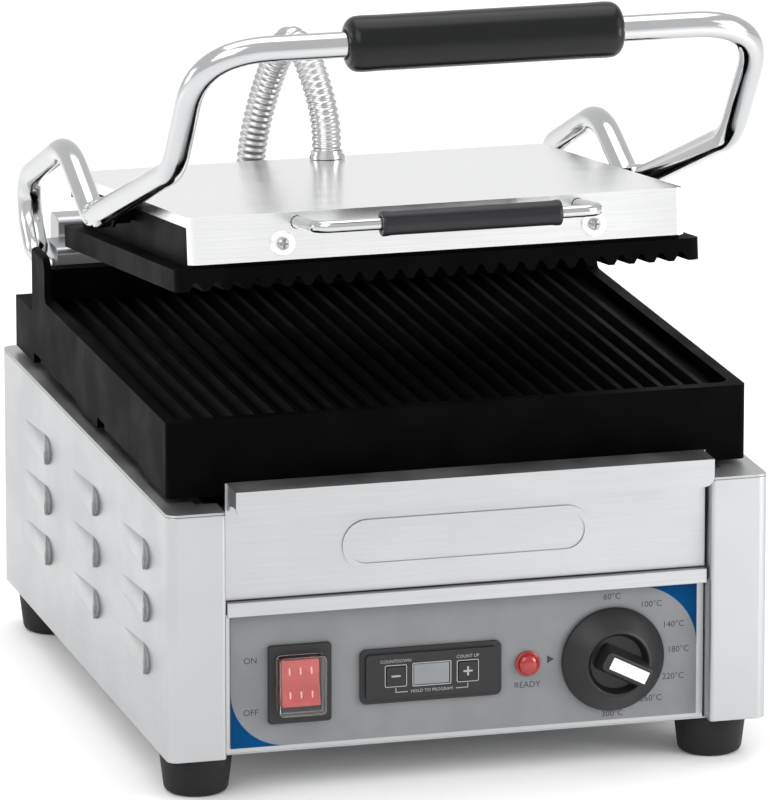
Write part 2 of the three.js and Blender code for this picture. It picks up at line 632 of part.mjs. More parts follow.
function lowerGrillPlate() {
  const { halfWidth, frontY, rearY } = CAST;
  let casting = join(
    prism(roundedRect(-halfWidth, halfWidth, frontY, EAR.rearY, 3), "z", PLATE_BOTTOM, PLATE_RIM_TOP),
    block(-halfWidth, halfWidth, 118, rearY, PLATE_BOTTOM, LEDGE_TOP),
  );
  casting = cut(
    casting,
    prism(roundedRect(-134, 134, -140, WALL_FRONT_Y, 6), "z", 172.2, 190),
    block(-132, 132, -138, 117, PLATE_BOTTOM - 1, 164),
    block(-RECESS_HALF_WIDTH, RECESS_HALF_WIDTH, 150, rearY + 1, PLATE_BOTTOM - 1, 190),
    block(-12, 12, -139, -134.5, 160, 180),
  );
  const ribs = prism(ribOutline(172.2, LOWER_RIB_TOP, 171), "y", -136, 108);
  casting = join(casting, splashWall(), ear(-1), ear(1), ribs);
  for (const side of [-1, 1]) {
    for (const [frontEnd, rearEnd] of SIDE_RELIEFS_Y) {
      casting = casting.subtract(sideRelief(side, frontEnd, rearEnd));
    }
  }
  for (let i = 0; i < 4; i += 1) {
    const x = -82.5 + 55 * i;
    casting = casting.subtract(
      block(x - 20, x + 20, frontY - 1, -137, PLATE_BOTTOM - 1, PLATE_BOTTOM + 4));
  }
  return casting;
}
place("lower_grill_plate", lowerGrillPlate(), castIron);

// A tubular element bent to a W, held under each plate.
function elementRoute(z, reach) {
  const [far, near] = reach;
  return bentLine([
    point(-105, far, z), point(-105, near, z), point(-35, near, z), point(-35, far - 30, z),
    point(35, far - 30, z), point(35, near, z), point(105, near, z), point(105, far, z),
  ], [28, 28, 28, 28, 28, 28]);
}
const LOWER_ELEMENT_Z = 158;
place("lower_heating_element",
  rodAlong(elementRoute(LOWER_ELEMENT_Z, [100, -122]), 4, 44, 5), elementSheath);
const ELEMENT_CLAMPS_Y = [["front", -80], ["rear", 60]];
for (const [word, y] of ELEMENT_CLAMPS_Y) {
  const top = LOWER_ELEMENT_Z - 4 - GAP;
  place(`lower_element_clamp_${word}`, block(-128, 128, y - 7, y + 7, top - 2, top), springSteel);
}
place("lower_heat_shield", cut(
  block(-115, 115, -125, 140, 130, 131),
  bar("z", 4, 128, 133, [KNOB.x, -38], 12),
), stainless);

// ---- hinge housing and wiring cover at the rear -------------------------------------------
const HINGE_BOX = {
  halfWidth: 127, frontY: 123.4, rearY: 150.2, bottom: LEDGE_TOP + GAP, top: 198.2, corner: 3.5,
};
const WIRING_BOX = {
  halfWidth: 120, frontY: 150.5, rearY: 167.9, bottom: 140.2, top: 207, corner: 4,
};
const CONDUIT_FOOT = { x: -20, y: 159.2 };

// A sheet box along X with rounded upper edges and no bottom.
function openBox({ halfWidth, frontY, rearY, bottom, top, corner }) {
  const belowMouth = bottom - 10;
  return cut(
    prism(roundedRect(frontY, rearY, belowMouth, top, corner), "x", -halfWidth, halfWidth, 3),
    block(-halfWidth - 1, halfWidth + 1, frontY - 1, rearY + 1, belowMouth - 1, bottom),
    block(-halfWidth + SHEET, halfWidth - SHEET, frontY + SHEET, rearY - SHEET,
      belowMouth - 1, top - SHEET),
  );
}
place("hinge_housing", cut(
  openBox(HINGE_BOX),
  bar("x", 7 + GAP, -130, 130, [HINGE_Y, HINGE_Z]),
), stainless);
place("wiring_cover", cut(
  openBox(WIRING_BOX),
  bar("z", 5.2, 200, 210, [CONDUIT_FOOT.x, CONDUIT_FOOT.y], 16),
), stainless);

for (const [word, side] of SIDES) {
  const sleeve = bar("x", 7, side * 121, side * 127.3, [HINGE_Y, HINGE_Z]);
  const bore = bar("x", SHAFT_RADIUS + GAP, side * 119, side * 128, [HINGE_Y, HINGE_Z]);
  place(`hinge_bush_${word}`, cut(sleeve, bore), brass);
}

// Lift springs: coils round the hinge shaft that carry most of the upper plate's weight.
class Helix extends THREE.Curve {
  constructor(radius, startX, endX, turns) {
    super();
    Object.assign(this, { radius, startX, endX, turns });
  }

  getPoint(t) {
    const angle = 2 * Math.PI * this.turns * t;
    const x = this.startX + (this.endX - this.startX) * t;
    return point(x, HINGE_Y + this.radius * Math.cos(angle), HINGE_Z + this.radius * Math.sin(angle));
  }
}
for (const [word, side] of SIDES) {
  const coil = new Helix(6.2, side * 38, side * 112, 6);
  place(`lift_spring_${word}`, rodAlong(coil, 0.7, 48, 4), springSteel);
}

// ---- bail: one bent rod from hinge to hinge, with a grip on its crossbar -------------------
const ROD_BENDS = [
  { y: 151.5, z: 206, radius: 18 },
  { y: 156.8, z: 226.8, radius: 16 },
  { y: 72.8, z: 261.6, radius: 46 },
  { y: 19, z: 238.2, radius: 12 },
  { y: -138.8, z: 296.3, radius: 45 },
  { y: HANDLE_Y, z: HANDLE_Z, radius: 34 },
];
const HINGE_EYE = { radius: 8.3, innerX: 128.4, outerX: 134.9, boreEnd: 134.3 };

const PIN_RADIUS = 3;           // blind pins from the bail into the upper casting
const PIN_OUTER_X = ARM_X + 1;
const PIVOT_HUB_OUTER_X = ARM_X + 4.6;

function bailRod() {
  const half = (side) => ROD_BENDS.map(({ y, z }) => point(side * ARM_X, y, z));
  const corners = [
    point(-ARM_X, HINGE_Y + 3.9, HINGE_Z + 6.2), ...half(-1), ...half(1).reverse(),
    point(ARM_X, HINGE_Y + 3.9, HINGE_Z + 6.2),
  ];
  const radii = ROD_BENDS.map(({ radius }) => radius);
  const route = bentLine(corners, [...radii, ...[...radii].reverse()]);
  let rod = solidOf(rodAlong(route, ROD_RADIUS, 88, 8));
  for (const side of [-1, 1]) {
    const inner = side * (ARM_X - ROD_RADIUS);
    const { radius: eyeRadius, innerX, outerX, boreEnd } = HINGE_EYE;
    rod = rod.add(bar("x", eyeRadius, side * innerX, side * outerX, [HINGE_Y, HINGE_Z], 16));
    rod = rod.add(bar("x", 7.4, inner, side * PIVOT_HUB_OUTER_X, [PIVOT_Y, PIVOT_Z], 16));
    rod = rod.subtract(
      bar("x", SHAFT_RADIUS + GAP, inner - side, side * boreEnd, [HINGE_Y, HINGE_Z], 16));
    rod = rod.subtract(
      bar("x", PIN_RADIUS + GAP, inner - side, side * (PIN_OUTER_X + GAP), [PIVOT_Y, PIVOT_Z], 12));
  }
  return rod;
}
place("lift_bail", bailRod(), chrome);
place("hinge_shaft", bar("x", SHAFT_RADIUS, -134, 134, [HINGE_Y, HINGE_Z]), springSteel);
for (const [word, side] of SIDES) {
  const pin = bar("x", PIN_RADIUS, side * 113.4, side * PIN_OUTER_X, [PIVOT_Y, PIVOT_Z], 16);
  place(`pivot_pin_${word}`, pin, springSteel);
}

// A sleeve about the Z axis with a bore and rounded ends.
function turnedGrip(radius, halfLength, bore, rounding) {
  const roundedEnd = [0, 1, 2, 3].map((step) => {
    const angle = (Math.PI / 6) * step;
    return [
      radius - rounding + rounding * Math.sin(angle),
      halfLength - rounding + rounding * Math.cos(angle),
    ];
  });
  const lowerEnd = roundedEnd.map(([r, z]) => [r, -z]);
  return turned(
    [[bore, -halfLength], ...lowerEnd, ...roundedEnd.reverse(), [bore, halfLength], [bore, -halfLength]],
    20);
}
const liftGrip = place("lift_handle_grip",
  turnedGrip(HANDLE_GRIP_RADIUS, 65, ROD_RADIUS + GAP, 6), gripRubber);
liftGrip.rotation.y = Math.PI / 2;
liftGrip.position.set(0, HANDLE_Y, HANDLE_Z);

// ---- upper plate, in a frame at its pivot with Z across the casting ------------------------
const upper = new THREE.Group();
upper.position.set(0, PIVOT_Y, PIVOT_Z);
upper.rotation.x = -REST_TILT;
press.add(upper);

const UPPER = {
  halfWidth: 127, frontY: -116.4, rearY: 112.6, rimTop: -16.7, rimBottom: -22.8, ribTip: -27.1,
};
const HUMP = { halfWidth: 118.4, frontY: -113.8, rearY: 108, top: 5.8 };
const COVER = {
  halfWidth: 120, frontY: -115.4, rearY: 125.1, top: 7.3,
  frontBottom: -14.9, sideBottom: 2.3, rearBottom: -4.7,
};
const HANDLE = {
  x: 68, rootZ: 2.4, reachY: -154, z: 3.5, rodRadius: 2.9, gripX: 5, gripRadius: 6, gripHalf: 43,
};
const UPPER_GLAND = { x: 7.5, y: 113.1 };
const SCREW = { x: 75.3, z: -7.1 };

function upperGrillPlate() {
  const { halfWidth, frontY, rearY, rimTop, rimBottom, ribTip } = UPPER;
  const rim = prism(roundedRect(-halfWidth, halfWidth, frontY, rearY, 5), "z", ribTip, rimTop);
  const lastRibX = ((RIB_COUNT - 1) / 2) * RIB_PITCH;
  const ribs = prism(ribOutline(rimBottom, ribTip, rimBottom + 1), "y", frontY, rearY - 3);
  let casting = join(
    rim,
    prism(roundedRect(-HUMP.halfWidth, HUMP.halfWidth, HUMP.frontY, HUMP.rearY, 4), "z",
      rimTop - 1, HUMP.top),
  );
  casting = cut(
    casting,
    prism(roundedRect(-112, 112, -107, 101, 5), "z", -16, HUMP.top + 1),
    block(-lastRibX, lastRibX, frontY - 1, rearY + 1, ribTip - 1, rimBottom),
    block(-halfWidth - 1, halfWidth + 1, rearY - 3, rearY + 1, ribTip - 1, rimBottom),
  );
  casting = casting.add(ribs.intersect(rim));
  for (const side of [-1, 1]) {
    casting = casting.add(bar("x", 4.7, side * 117, side * 121, [0, 0], 16));
    casting = casting.add(bar("x", 5.8, side * 120.4, side * 127, [0, 0], 18));
    casting = casting.subtract(bar("x", PIN_RADIUS + GAP, side * 111, side * 128, [0, 0], 16));
  }
  return casting;
}
place("upper_grill_plate", upperGrillPlate(), castIron, upper);

function upperCover() {
  const { halfWidth, frontY, rearY, top, frontBottom, sideBottom, rearBottom } = COVER;
  const inside = roundedRect(
    -halfWidth + SHEET, halfWidth - SHEET, frontY + SHEET, rearY - SHEET, 4 - SHEET);
  let cover = cut(
    prism(roundedRect(-halfWidth, halfWidth, frontY, rearY, 4), "z", frontBottom, top),
    prism(inside, "z", frontBottom - 1, top - SHEET),
    block(-130, 130, frontY + 4, rearY - 4, frontBottom - 1, sideBottom),
    block(-130, 130, rearY - 5, rearY + 1, frontBottom - 1, rearBottom),
    bar("z", 6, 0, 10, [UPPER_GLAND.x, UPPER_GLAND.y], 16),
  );
  for (const side of [-1, 1]) {
    cover = cover.subtract(block(side * 117, side * 122, -5.2, 5.2, 0, top - SHEET));
    cover = cover.subtract(bar("y", 2.3, frontY - 1, frontY + 3, [side * SCREW.x, SCREW.z], 12));
    cover = cover.subtract(
      bar("y", HANDLE.rodRadius + GAP, frontY - 1, frontY + 3, [side * HANDLE.x, HANDLE.rootZ], 12));
  }
  return cover;
}
place("upper_cover", upperCover(), stainless, upper);

place("upper_heating_element", rodAlong(elementRoute(-10.5, [92, -96]), 4, 44, 5), elementSheath, upper);
place("upper_insulation_board", block(-110, 110, -104, 98, -5.5, 3), ceramicBoard, upper);

// Front handle: a bent chrome rod that passes through the cover's front flange, with a sleeve on it.
const handleRoute = bentLine([
  point(-HANDLE.x, COVER.frontY + 0.9, HANDLE.rootZ), point(-HANDLE.x, HANDLE.reachY, HANDLE.z),
  point(HANDLE.x, HANDLE.reachY, HANDLE.z), point(HANDLE.x, COVER.frontY + 0.9, HANDLE.rootZ),
], [9, 9]);
place("front_handle_rod", rodAlong(handleRoute, HANDLE.rodRadius, 24, 8), chrome, upper);
const frontGrip = place("front_handle_grip",
  turnedGrip(HANDLE.gripRadius, HANDLE.gripHalf, HANDLE.rodRadius + GAP, 1), gripRubber, upper);
frontGrip.rotation.y = Math.PI / 2;
frontGrip.position.set(HANDLE.gripX, HANDLE.reachY, HANDLE.z);

// A turned screw with a cross recess in the top of its head.
function crossScrew(profile, top) {
  const head = solidOf(turned(profile, 12));
  return cut(
    head,
    block(-2, 2, -0.4, 0.4, top - 1.2, top + 1),
    block(-0.4, 0.4, -2, 2, top - 1.2, top + 1),
  );
}

const WASHER_PROFILE = [[2.3, 0], [6.1, 0], [5.6, 1], [2.3, 1], [2.3, 0]];
const SCREW_PROFILE = [[0, -1.6], [2, -1.6], [2, 1.2], [3, 1.2], [2.8, 2.2], [1.6, 2.9], [0, 3]];
for (const [word, side] of SIDES) {
  const washer = place(`cover_washer_${word}`, turned(WASHER_PROFILE, 20), chrome, upper);
  washer.rotation.x = Math.PI / 2;
  washer.position.set(side * SCREW.x, COVER.frontY - GAP, SCREW.z);
  const screw = place(`cover_screw_${word}`, crossScrew(SCREW_PROFILE, 3), chrome, upper);
  screw.rotation.x = Math.PI / 2;
  screw.position.set(side * SCREW.x, COVER.frontY - GAP, SCREW.z);
}

// ---- flexible conduit from the wiring cover to the upper cover -----------------------------
const hexNut = (radius, from, to) => {
  const geometry = new THREE.CylinderGeometry(radius, radius, to - from, 6);
  geometry.rotateX(Math.PI / 2);
  geometry.translate(0, 0, (from + to) / 2);
  return solidOf(geometry);
};
const NUT_RADIUS = 8.6;
const BASE_FITTING_TOP = 13;
const COVER_FITTING_TOP = 4;

// A hexagonal nut with a round ferrule above it at the base, and a low collar on the cover.
const baseFitting = place("conduit_fitting_base", cut(
  join(hexNut(NUT_RADIUS, 0, 6), bar("z", NUT_RADIUS - 1, 5, BASE_FITTING_TOP, [0, 0], 20)),
  bar("z", 5.2, -1, BASE_FITTING_TOP + 1, [0, 0], 16),
), chrome);
baseFitting.position.set(CONDUIT_FOOT.x, CONDUIT_FOOT.y, WIRING_BOX.top + GAP);
const coverFitting = place("conduit_fitting_cover", cut(
  join(bar("z", 8.7, 0, 2, [0, 0], 20), bar("z", 7.9, 1.5, COVER_FITTING_TOP, [0, 0], 20)),
  bar("z", 5.2, -1, COVER_FITTING_TOP + 1, [0, 0], 16),
), chrome, upper);
coverFitting.position.set(UPPER_GLAND.x, UPPER_GLAND.y, COVER.top + GAP);

// Held at both ends, the conduit stands in one arch, made as two stretches that meet at its top.
const conduitRoute = new THREE.CatmullRomCurve3([
  point(-20, 159.2, 220.7), point(-19.8, 159.2, 230), point(-18, 159, 242), point(-15, 157.8, 256),
  point(-11.9, 155, 269), point(-8.6, 150.3, 281), point(-4.4, 141.4, 291.4), point(0.1, 132.2, 287.2),
  point(3.3, 126.2, 276.6), point(5.8, 121.7, 265.2), point(7.3, 118.5, 253), point(7.5, 117.1, 242.6),
]);
const CONDUIT_SPLIT = 0.6;      // share of the route below the top of the arch
const CONDUIT_SEAM = 0.003;

class Stretch extends THREE.Curve {
  constructor(whole, from, to) {
    super();
    Object.assign(this, { whole, from, to });
  }

  getPoint(t) {
    return this.whole.getPointAt(this.from + (this.to - this.from) * t);
  }
}
const CONDUIT_STRETCHES = [
  ["lower", 0, CONDUIT_SPLIT - CONDUIT_SEAM],
  ["upper", CONDUIT_SPLIT + CONDUIT_SEAM, 1],
];
for (const [word, from, to] of CONDUIT_STRETCHES) {
  const stretch = new Stretch(conduitRoute, from, to);
  place(`flexible_conduit_${word}`, rodAlong(stretch, CONDUIT_RADIUS, 12, 10), chrome);
}

export default press;
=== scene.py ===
"""Looks of the panini press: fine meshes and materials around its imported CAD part.

Everything is in metres in the part's frame: X to the right, Y to the rear, Z up from the floor.
"""

import json
import math

import bmesh
import bpy
from mathutils import Matrix, Vector

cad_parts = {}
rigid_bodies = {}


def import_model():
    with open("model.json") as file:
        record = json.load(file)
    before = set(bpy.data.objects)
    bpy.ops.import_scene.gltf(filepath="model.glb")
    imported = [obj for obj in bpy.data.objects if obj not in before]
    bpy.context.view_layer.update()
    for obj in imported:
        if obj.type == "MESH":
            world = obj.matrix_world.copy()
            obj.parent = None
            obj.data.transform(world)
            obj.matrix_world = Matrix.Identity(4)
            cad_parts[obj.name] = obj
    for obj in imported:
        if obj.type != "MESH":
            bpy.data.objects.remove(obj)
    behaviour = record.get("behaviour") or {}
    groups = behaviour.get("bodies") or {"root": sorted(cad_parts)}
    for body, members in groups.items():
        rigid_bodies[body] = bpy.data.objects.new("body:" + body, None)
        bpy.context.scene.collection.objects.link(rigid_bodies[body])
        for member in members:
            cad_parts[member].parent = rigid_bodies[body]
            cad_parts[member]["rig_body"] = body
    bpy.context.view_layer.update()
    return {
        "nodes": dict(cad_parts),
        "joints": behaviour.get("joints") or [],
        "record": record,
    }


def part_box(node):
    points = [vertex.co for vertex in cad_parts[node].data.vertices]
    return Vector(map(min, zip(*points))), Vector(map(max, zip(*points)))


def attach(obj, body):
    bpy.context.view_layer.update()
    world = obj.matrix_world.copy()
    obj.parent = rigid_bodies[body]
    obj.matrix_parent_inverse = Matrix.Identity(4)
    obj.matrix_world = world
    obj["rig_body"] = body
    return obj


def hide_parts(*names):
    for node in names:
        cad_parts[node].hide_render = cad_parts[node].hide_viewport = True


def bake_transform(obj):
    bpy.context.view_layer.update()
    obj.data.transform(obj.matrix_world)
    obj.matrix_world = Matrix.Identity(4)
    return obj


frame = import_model()

MM = 0.001
NODES = frame["nodes"]
SLOT_OF = {row["node"]: row["material_slot"] for row in frame["record"]["subparts"]}
JOINT_AT = {joint["name"]: Vector(joint["pos_m"]) for joint in frame["joints"] if "pos_m" in joint}
HINGE = JOINT_AT["arm_lift"]
PIVOT = JOINT_AT["plate_tilt"]
KNOB_AXIS = JOINT_AT["thermostat_turn"]
SIDES = (("left", -1), ("right", 1))

# The upper plate's own frame at rest: its origin on the pivot, its front edge raised by the tilt.
REST_TILT = math.radians(7.4)
UPPER = Matrix.Translation(PIVOT) @ Matrix.Rotation(-REST_TILT, 4, "X")


# ---- material building ----------------------------------------------------------------------
class Recipe:
    """A node material: values go on the shader's own sockets and textures are wired over them."""

    def __init__(self, name, color, roughness, metallic=0.0, **sockets):
        self.material = bpy.data.materials.new(name)
        self.material.use_nodes = True
        self.tree = self.material.node_tree
        self.shader = self.tree.nodes["Principled BSDF"]
        self.shader.inputs["Base Color"].default_value = (*color, 1)
        self.shader.inputs["Roughness"].default_value = roughness
        self.shader.inputs["Metallic"].default_value = metallic
        for socket, value in sockets.items():
            self.shader.inputs[socket.replace("_", " ")].default_value = value
        self.material.diffuse_color = (*color, 1)

    def node(self, kind, **settings):
        added = self.tree.nodes.new(kind)
        for key, value in settings.items():
            setattr(added, key, value)
        return added

    def link(self, source, target):
        self.tree.links.new(source, target)

    def noise(self, scale, detail, stretch=(1, 1, 1)):
        """Noise in the piece's own coordinates, with features about 1 / scale metres across."""
        place = self.node("ShaderNodeTexCoord")
        mapping = self.node("ShaderNodeMapping")
        mapping.inputs["Scale"].default_value = [scale * s for s in stretch]
        noise = self.node("ShaderNodeTexNoise")
        noise.inputs["Scale"].default_value = 1.0
        noise.inputs["Detail"].default_value = detail
        self.link(place.outputs["Object"], mapping.inputs["Vector"])
        self.link(mapping.outputs["Vector"], noise.inputs["Vector"])
        return noise.outputs["Fac"]

    def spread(self, source, low, high, start=0.3, end=0.7):
        """Maps a 0 to 1 signal on to a range of values."""
        ranged = self.node("ShaderNodeMapRange", interpolation_type="SMOOTHSTEP")
        ranged.inputs["From Min"].default_value = start
        ranged.inputs["From Max"].default_value = end
        ranged.inputs["To Min"].default_value = low
        ranged.inputs["To Max"].default_value = high
        self.link(source, ranged.inputs["Value"])
        return ranged.outputs["Result"]

    def vary_roughness(self, source, low, high):
        self.link(self.spread(source, low, high), self.shader.inputs["Roughness"])

    def vary_color(self, source, low, high, start=0.3, end=0.7):
        ramp = self.node("ShaderNodeValToRGB")
        ramp.color_ramp.interpolation = "EASE"
        ramp.color_ramp.elements[0].position = start
        ramp.color_ramp.elements[0].color = (*low, 1)
        ramp.color_ramp.elements[1].position = end
        ramp.color_ramp.elements[1].color = (*high, 1)
        self.link(source, ramp.inputs["Fac"])
        self.link(ramp.outputs["Color"], self.shader.inputs["Base Color"])

    def bump(self, source, strength, depth):
        bump = self.node("ShaderNodeBump")
        bump.inputs["Strength"].default_value = strength
        bump.inputs["Distance"].default_value = depth
        self.link(source, bump.inputs["Height"])
        self.link(bump.outputs["Normal"], self.shader.inputs["Normal"])


def tint(color, factor):
    return tuple(min(1.0, channel * factor) for channel in color)


def brushed_steel(name, grain, color=(0.47, 0.475, 0.483), roughness=0.34, mark=0.05):
    """Steel with fine parallel grain lines; grain is the noise stretch, small along the lines."""
    recipe = Recipe(name, color, roughness, 1.0)
    lines = recipe.noise(2200, 4, grain)
    smears = recipe.noise(26, 2)
    recipe.vary_color(lines, tint(color, 0.95), tint(color, 1.04), 0.2, 0.8)
    recipe.vary_roughness(smears, roughness * 0.88, roughness * 1.15)
    recipe.bump(lines, mark, 0.00004)
    return recipe.material


def chrome(name, color=(0.53, 0.535, 0.542), roughness=0.1):
    recipe = Recipe(name, color, roughness, 1.0)
    haze = recipe.noise(45, 3)
    recipe.vary_roughness(haze, roughness * 0.7, roughness * 1.7)
    recipe.vary_color(haze, tint(color, 0.98), tint(color, 1.01))
    return recipe.material


def enamelled_iron(name):
    """Black enamel over sand-cast iron: a soft sheen with a fine pebbled grain."""
    color = (0.0012, 0.0013, 0.0013)
    recipe = Recipe(name, color, 0.55, 0.0, Specular_IOR_Level=0.026)
    grain = recipe.noise(900, 4)
    patches = recipe.noise(38, 3)
    recipe.vary_color(patches, tint(color, 0.7), tint(color, 1.6))
    recipe.vary_roughness(patches, 0.48, 0.6)
    recipe.bump(grain, 0.3, 0.00015)
    return recipe.material


def moulded(name, color, roughness, grain_scale=1600, grain=0.12, **sockets):
    """Moulded plastic or rubber with a fine texture and faint handling marks."""
    recipe = Recipe(name, color, roughness, 0.0, **sockets)
    texture = recipe.noise(grain_scale, 3)
    handling = recipe.noise(60, 2)
    recipe.vary_color(handling, tint(color, 0.95), tint(color, 1.05))
    recipe.vary_roughness(handling, roughness * 0.92, min(1.0, roughness * 1.08))
    recipe.bump(texture, grain, 0.00008)
    return recipe.material


def plain_metal(name, color, roughness, spots):
    recipe = Recipe(name, color, roughness, 1.0)
    stain = recipe.noise(spots, 4)
    recipe.vary_color(stain, tint(color, 0.72), tint(color, 1.15))
    recipe.vary_roughness(stain, roughness * 0.8, roughness * 1.25)
    recipe.bump(stain, 0.06, 0.00006)
    return recipe.material


ALONG_X = (0.012, 1, 1)
ALONG_Y = (1, 0.012, 1)

STEEL_FRONT = brushed_steel("steel_grain_along_x", ALONG_X)
STEEL_SIDE = brushed_steel("steel_grain_along_y", ALONG_Y, (0.47, 0.475, 0.482), 0.42)
# A copy of the steel at about twice the brightness for the upper cover: painted light for its bright
# top, with a smoother grain.
STEEL_PAINTED_BRIGHT = brushed_steel("steel_smooth_painted_bright", ALONG_X, (0.95, 0.955, 0.96), 0.2, 0.03)
CHROME = chrome("chrome_plate")
CONDUIT_STEEL = chrome("conduit_steel", (0.50, 0.50, 0.50), 0.24)
WASHER_METAL = chrome("washer_nickel", (0.92, 0.92, 0.92), 0.42)
SCREW_METAL = chrome("screw_zinc", (0.40, 0.40, 0.41), 0.3)
IRON = enamelled_iron("black_enamel")
BLACK = moulded("black_plastic", (0.011, 0.011, 0.0115), 0.42, Specular_IOR_Level=0.4)
GRIP = moulded("grip_black", (0.004, 0.0045, 0.0045), 0.24, 2400, 0.05, Specular_IOR_Level=0.26)
SLEEVE = moulded("sleeve_black", (0.014, 0.0125, 0.0155), 0.34, 2400, 0.08, Specular_IOR_Level=0.3)
RUBBER = moulded("foot_rubber", (0.008, 0.0082, 0.009), 0.62, 900, 0.3, Specular_IOR_Level=0.3)
LABEL = moulded("label_film", (0.185, 0.192, 0.20), 0.45, 2600, 0.04, Specular_IOR_Level=0.35)
LABEL_BLUE = moulded("label_blue", (0.002, 0.05, 0.155), 0.7, 2600, 0.04, Specular_IOR_Level=0.03)
PRINT_DARK = moulded("print_dark", (0.018, 0.018, 0.022), 0.5, 2600, 0.04)
PRINT_LIGHT = moulded("print_light", (0.30, 0.305, 0.31), 0.5, 2600, 0.04)
WHITE = moulded("white_plastic", (0.80, 0.80, 0.76), 0.38)
DISPLAY = moulded("display_window", (0.17, 0.185, 0.195), 0.16, 2600, 0.02, Coat_Weight=0.6)
# Plain grey for the inside of each louvre: painted shade standing in for the steel seen in shadow
# within the slot.
LOUVRE_PAINTED_SHADE = moulded("louvre_throat_painted_shade", (0.33, 0.332, 0.335), 0.7)
BOARD = moulded("mineral_board", (0.70, 0.67, 0.60), 0.85, 500, 0.4)
BRASS = plain_metal("brass", (0.36, 0.29, 0.17), 0.42, 140)
SPRING = plain_metal("spring_steel", (0.28, 0.285, 0.30), 0.36, 160)
SHEATH = plain_metal("element_sheath", (0.17, 0.145, 0.12), 0.5, 110)
LIT_RED = moulded("lit_red", (0.42, 0.012, 0.012), 0.26, 1800, 0.05, Coat_Weight=0.5,
                  Emission_Color=(1, 0.08, 0.07, 1), Emission_Strength=0.16)
RED_LINE = moulded("rocker_lines", (0.90, 0.50, 0.42), 0.4, 1800, 0.05,
                   Emission_Color=(1, 0.6, 0.5, 1), Emission_Strength=0.25)
LENS_RED = moulded("lens_red", (0.27, 0.004, 0.004), 0.14, 1800, 0.02, Coat_Weight=0.6,
                   Emission_Color=(1, 0.03, 0.02, 1), Emission_Strength=0.04)
CLEAR = moulded("clear_cover", (0.96, 0.97, 0.96), 0.08, 900, 0.03,
                Transmission_Weight=1.0, IOR=1.42)

SLOT_LOOK = {
    "stainless": STEEL_FRONT, "chrome": CHROME, "cast_iron": IRON, "black_plastic": BLACK,
    "grip": GRIP, "foot_rubber": RUBBER, "label_film": LABEL, "red_plastic": LIT_RED,
    "clear_plastic": CLEAR, "white_plastic": WHITE, "display": DISPLAY, "element_sheath": SHEATH,
    "spring_steel": SPRING, "brass": BRASS, "ceramic_board": BOARD,
}


# ---- mesh building --------------------------------------------------------------------------
ALL_SMOOTH = 180                # degrees: no edge stays sharp, because rounding shades them all
CAD_CREASE = 34                 # degrees: edges of the CAD shapes sharper than this are rounded


def made(name, bm, look, smooth_angle=35):
    """Turns a bmesh into an object that is smooth except across sharper edges."""
    mesh = bpy.data.meshes.new(name)
    bmesh.ops.recalc_face_normals(bm, faces=bm.faces)
    bm.to_mesh(mesh)
    bm.free()
    mesh.polygons.foreach_set("use_smooth", [True] * len(mesh.polygons))
    mesh.set_sharp_from_angle(angle=math.radians(smooth_angle))
    mesh.materials.append(look)
    piece = bpy.data.objects.new(name, mesh)
    bpy.context.scene.collection.objects.link(piece)
    return piece


def stands_for(piece, *nodes):
    """The piece rides with these CAD nodes' body and is shown in their place."""
    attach(piece, NODES[nodes[0]]["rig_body"])
    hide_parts(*nodes)
    return piece


def trim(piece, body):
    """A small added piece, such as print, that only rides on a body."""
    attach(piece, body)
    return piece


def round_edges(piece, width, segments, crease):
    """Rounds every edge sharper than the crease and keeps the large faces evenly shaded."""
    rounding = piece.modifiers.new("edge_rounding", "BEVEL")
    rounding.width = width
    rounding.segments = segments
    rounding.limit_method = "ANGLE"
    rounding.angle_limit = math.radians(crease)
    rounding.use_clamp_overlap = True
    shading = piece.modifiers.new("even_shading", "WEIGHTED_NORMAL")
    shading.mode = "FACE_AREA"
    shading.weight = 100


def refined(node, edge, look):
    """A copy of a CAD node with its flat facets merged and its edges rounded."""
    bm = bmesh.new()
    bm.from_mesh(NODES[node].data)
    bmesh.ops.remove_doubles(bm, verts=bm.verts, dist=2e-6)
    bmesh.ops.dissolve_limit(
        bm, angle_limit=math.radians(0.6), verts=bm.verts, edges=bm.edges)
    piece = made(f"{node}_look", bm, look, ALL_SMOOTH)
    round_edges(piece, edge, 2, CAD_CREASE)
    return stands_for(piece, node)


def add_tube(bm, points, radius_at, sides):
    """A tube along points; radius_at(distance) gives its radius at a distance along them."""
    rings = []
    travelled = 0.0
    tangent = (points[1] - points[0]).normalized()
    normal = tangent.orthogonal().normalized()
    for i, here in enumerate(points):
        ahead = points[min(i + 1, len(points) - 1)]
        behind = points[max(i - 1, 0)]
        new_tangent = (ahead - behind).normalized()
        normal = tangent.rotation_difference(new_tangent) @ normal
        tangent = new_tangent
        across = tangent.cross(normal).normalized()
        travelled += (here - behind).length if i else 0.0
        radius = radius_at(travelled)
        rings.append([
            bm.verts.new(here + radius * (math.cos(turn) * normal + math.sin(turn) * across))
            for turn in (2 * math.pi * k / sides for k in range(sides))
        ])
    for low, high in zip(rings, rings[1:]):
        for k in range(sides):
            bm.faces.new((low[k], low[(k + 1) % sides], high[(k + 1) % sides], high[k]))
    bm.faces.new(rings[0])
    bm.faces.new(rings[-1])


def add_turned(bm, profile, place, segments=48):
    """A piece turned about its own Z from (radius, z) pairs, put where `place` says."""
    rings = []
    for radius, z in profile:
        if radius < 1e-7:
            rings.append([bm.verts.new(place @ Vector((0, 0, z)))])
        else:
            rings.append([
                bm.verts.new(place @ Vector((radius * math.cos(turn), radius * math.sin(turn), z)))
                for turn in (2 * math.pi * k / segments for k in range(segments))
            ])
    for low, high in zip(rings, rings[1:]):
        for k in range(segments):
            after = (k + 1) % segments
            corners = [low[k % len(low)], low[after % len(low)],
                       high[after % len(high)], high[k % len(high)]]
            distinct = list(dict.fromkeys(corners))
            if len(distinct) > 2:
                bm.faces.new(distinct)


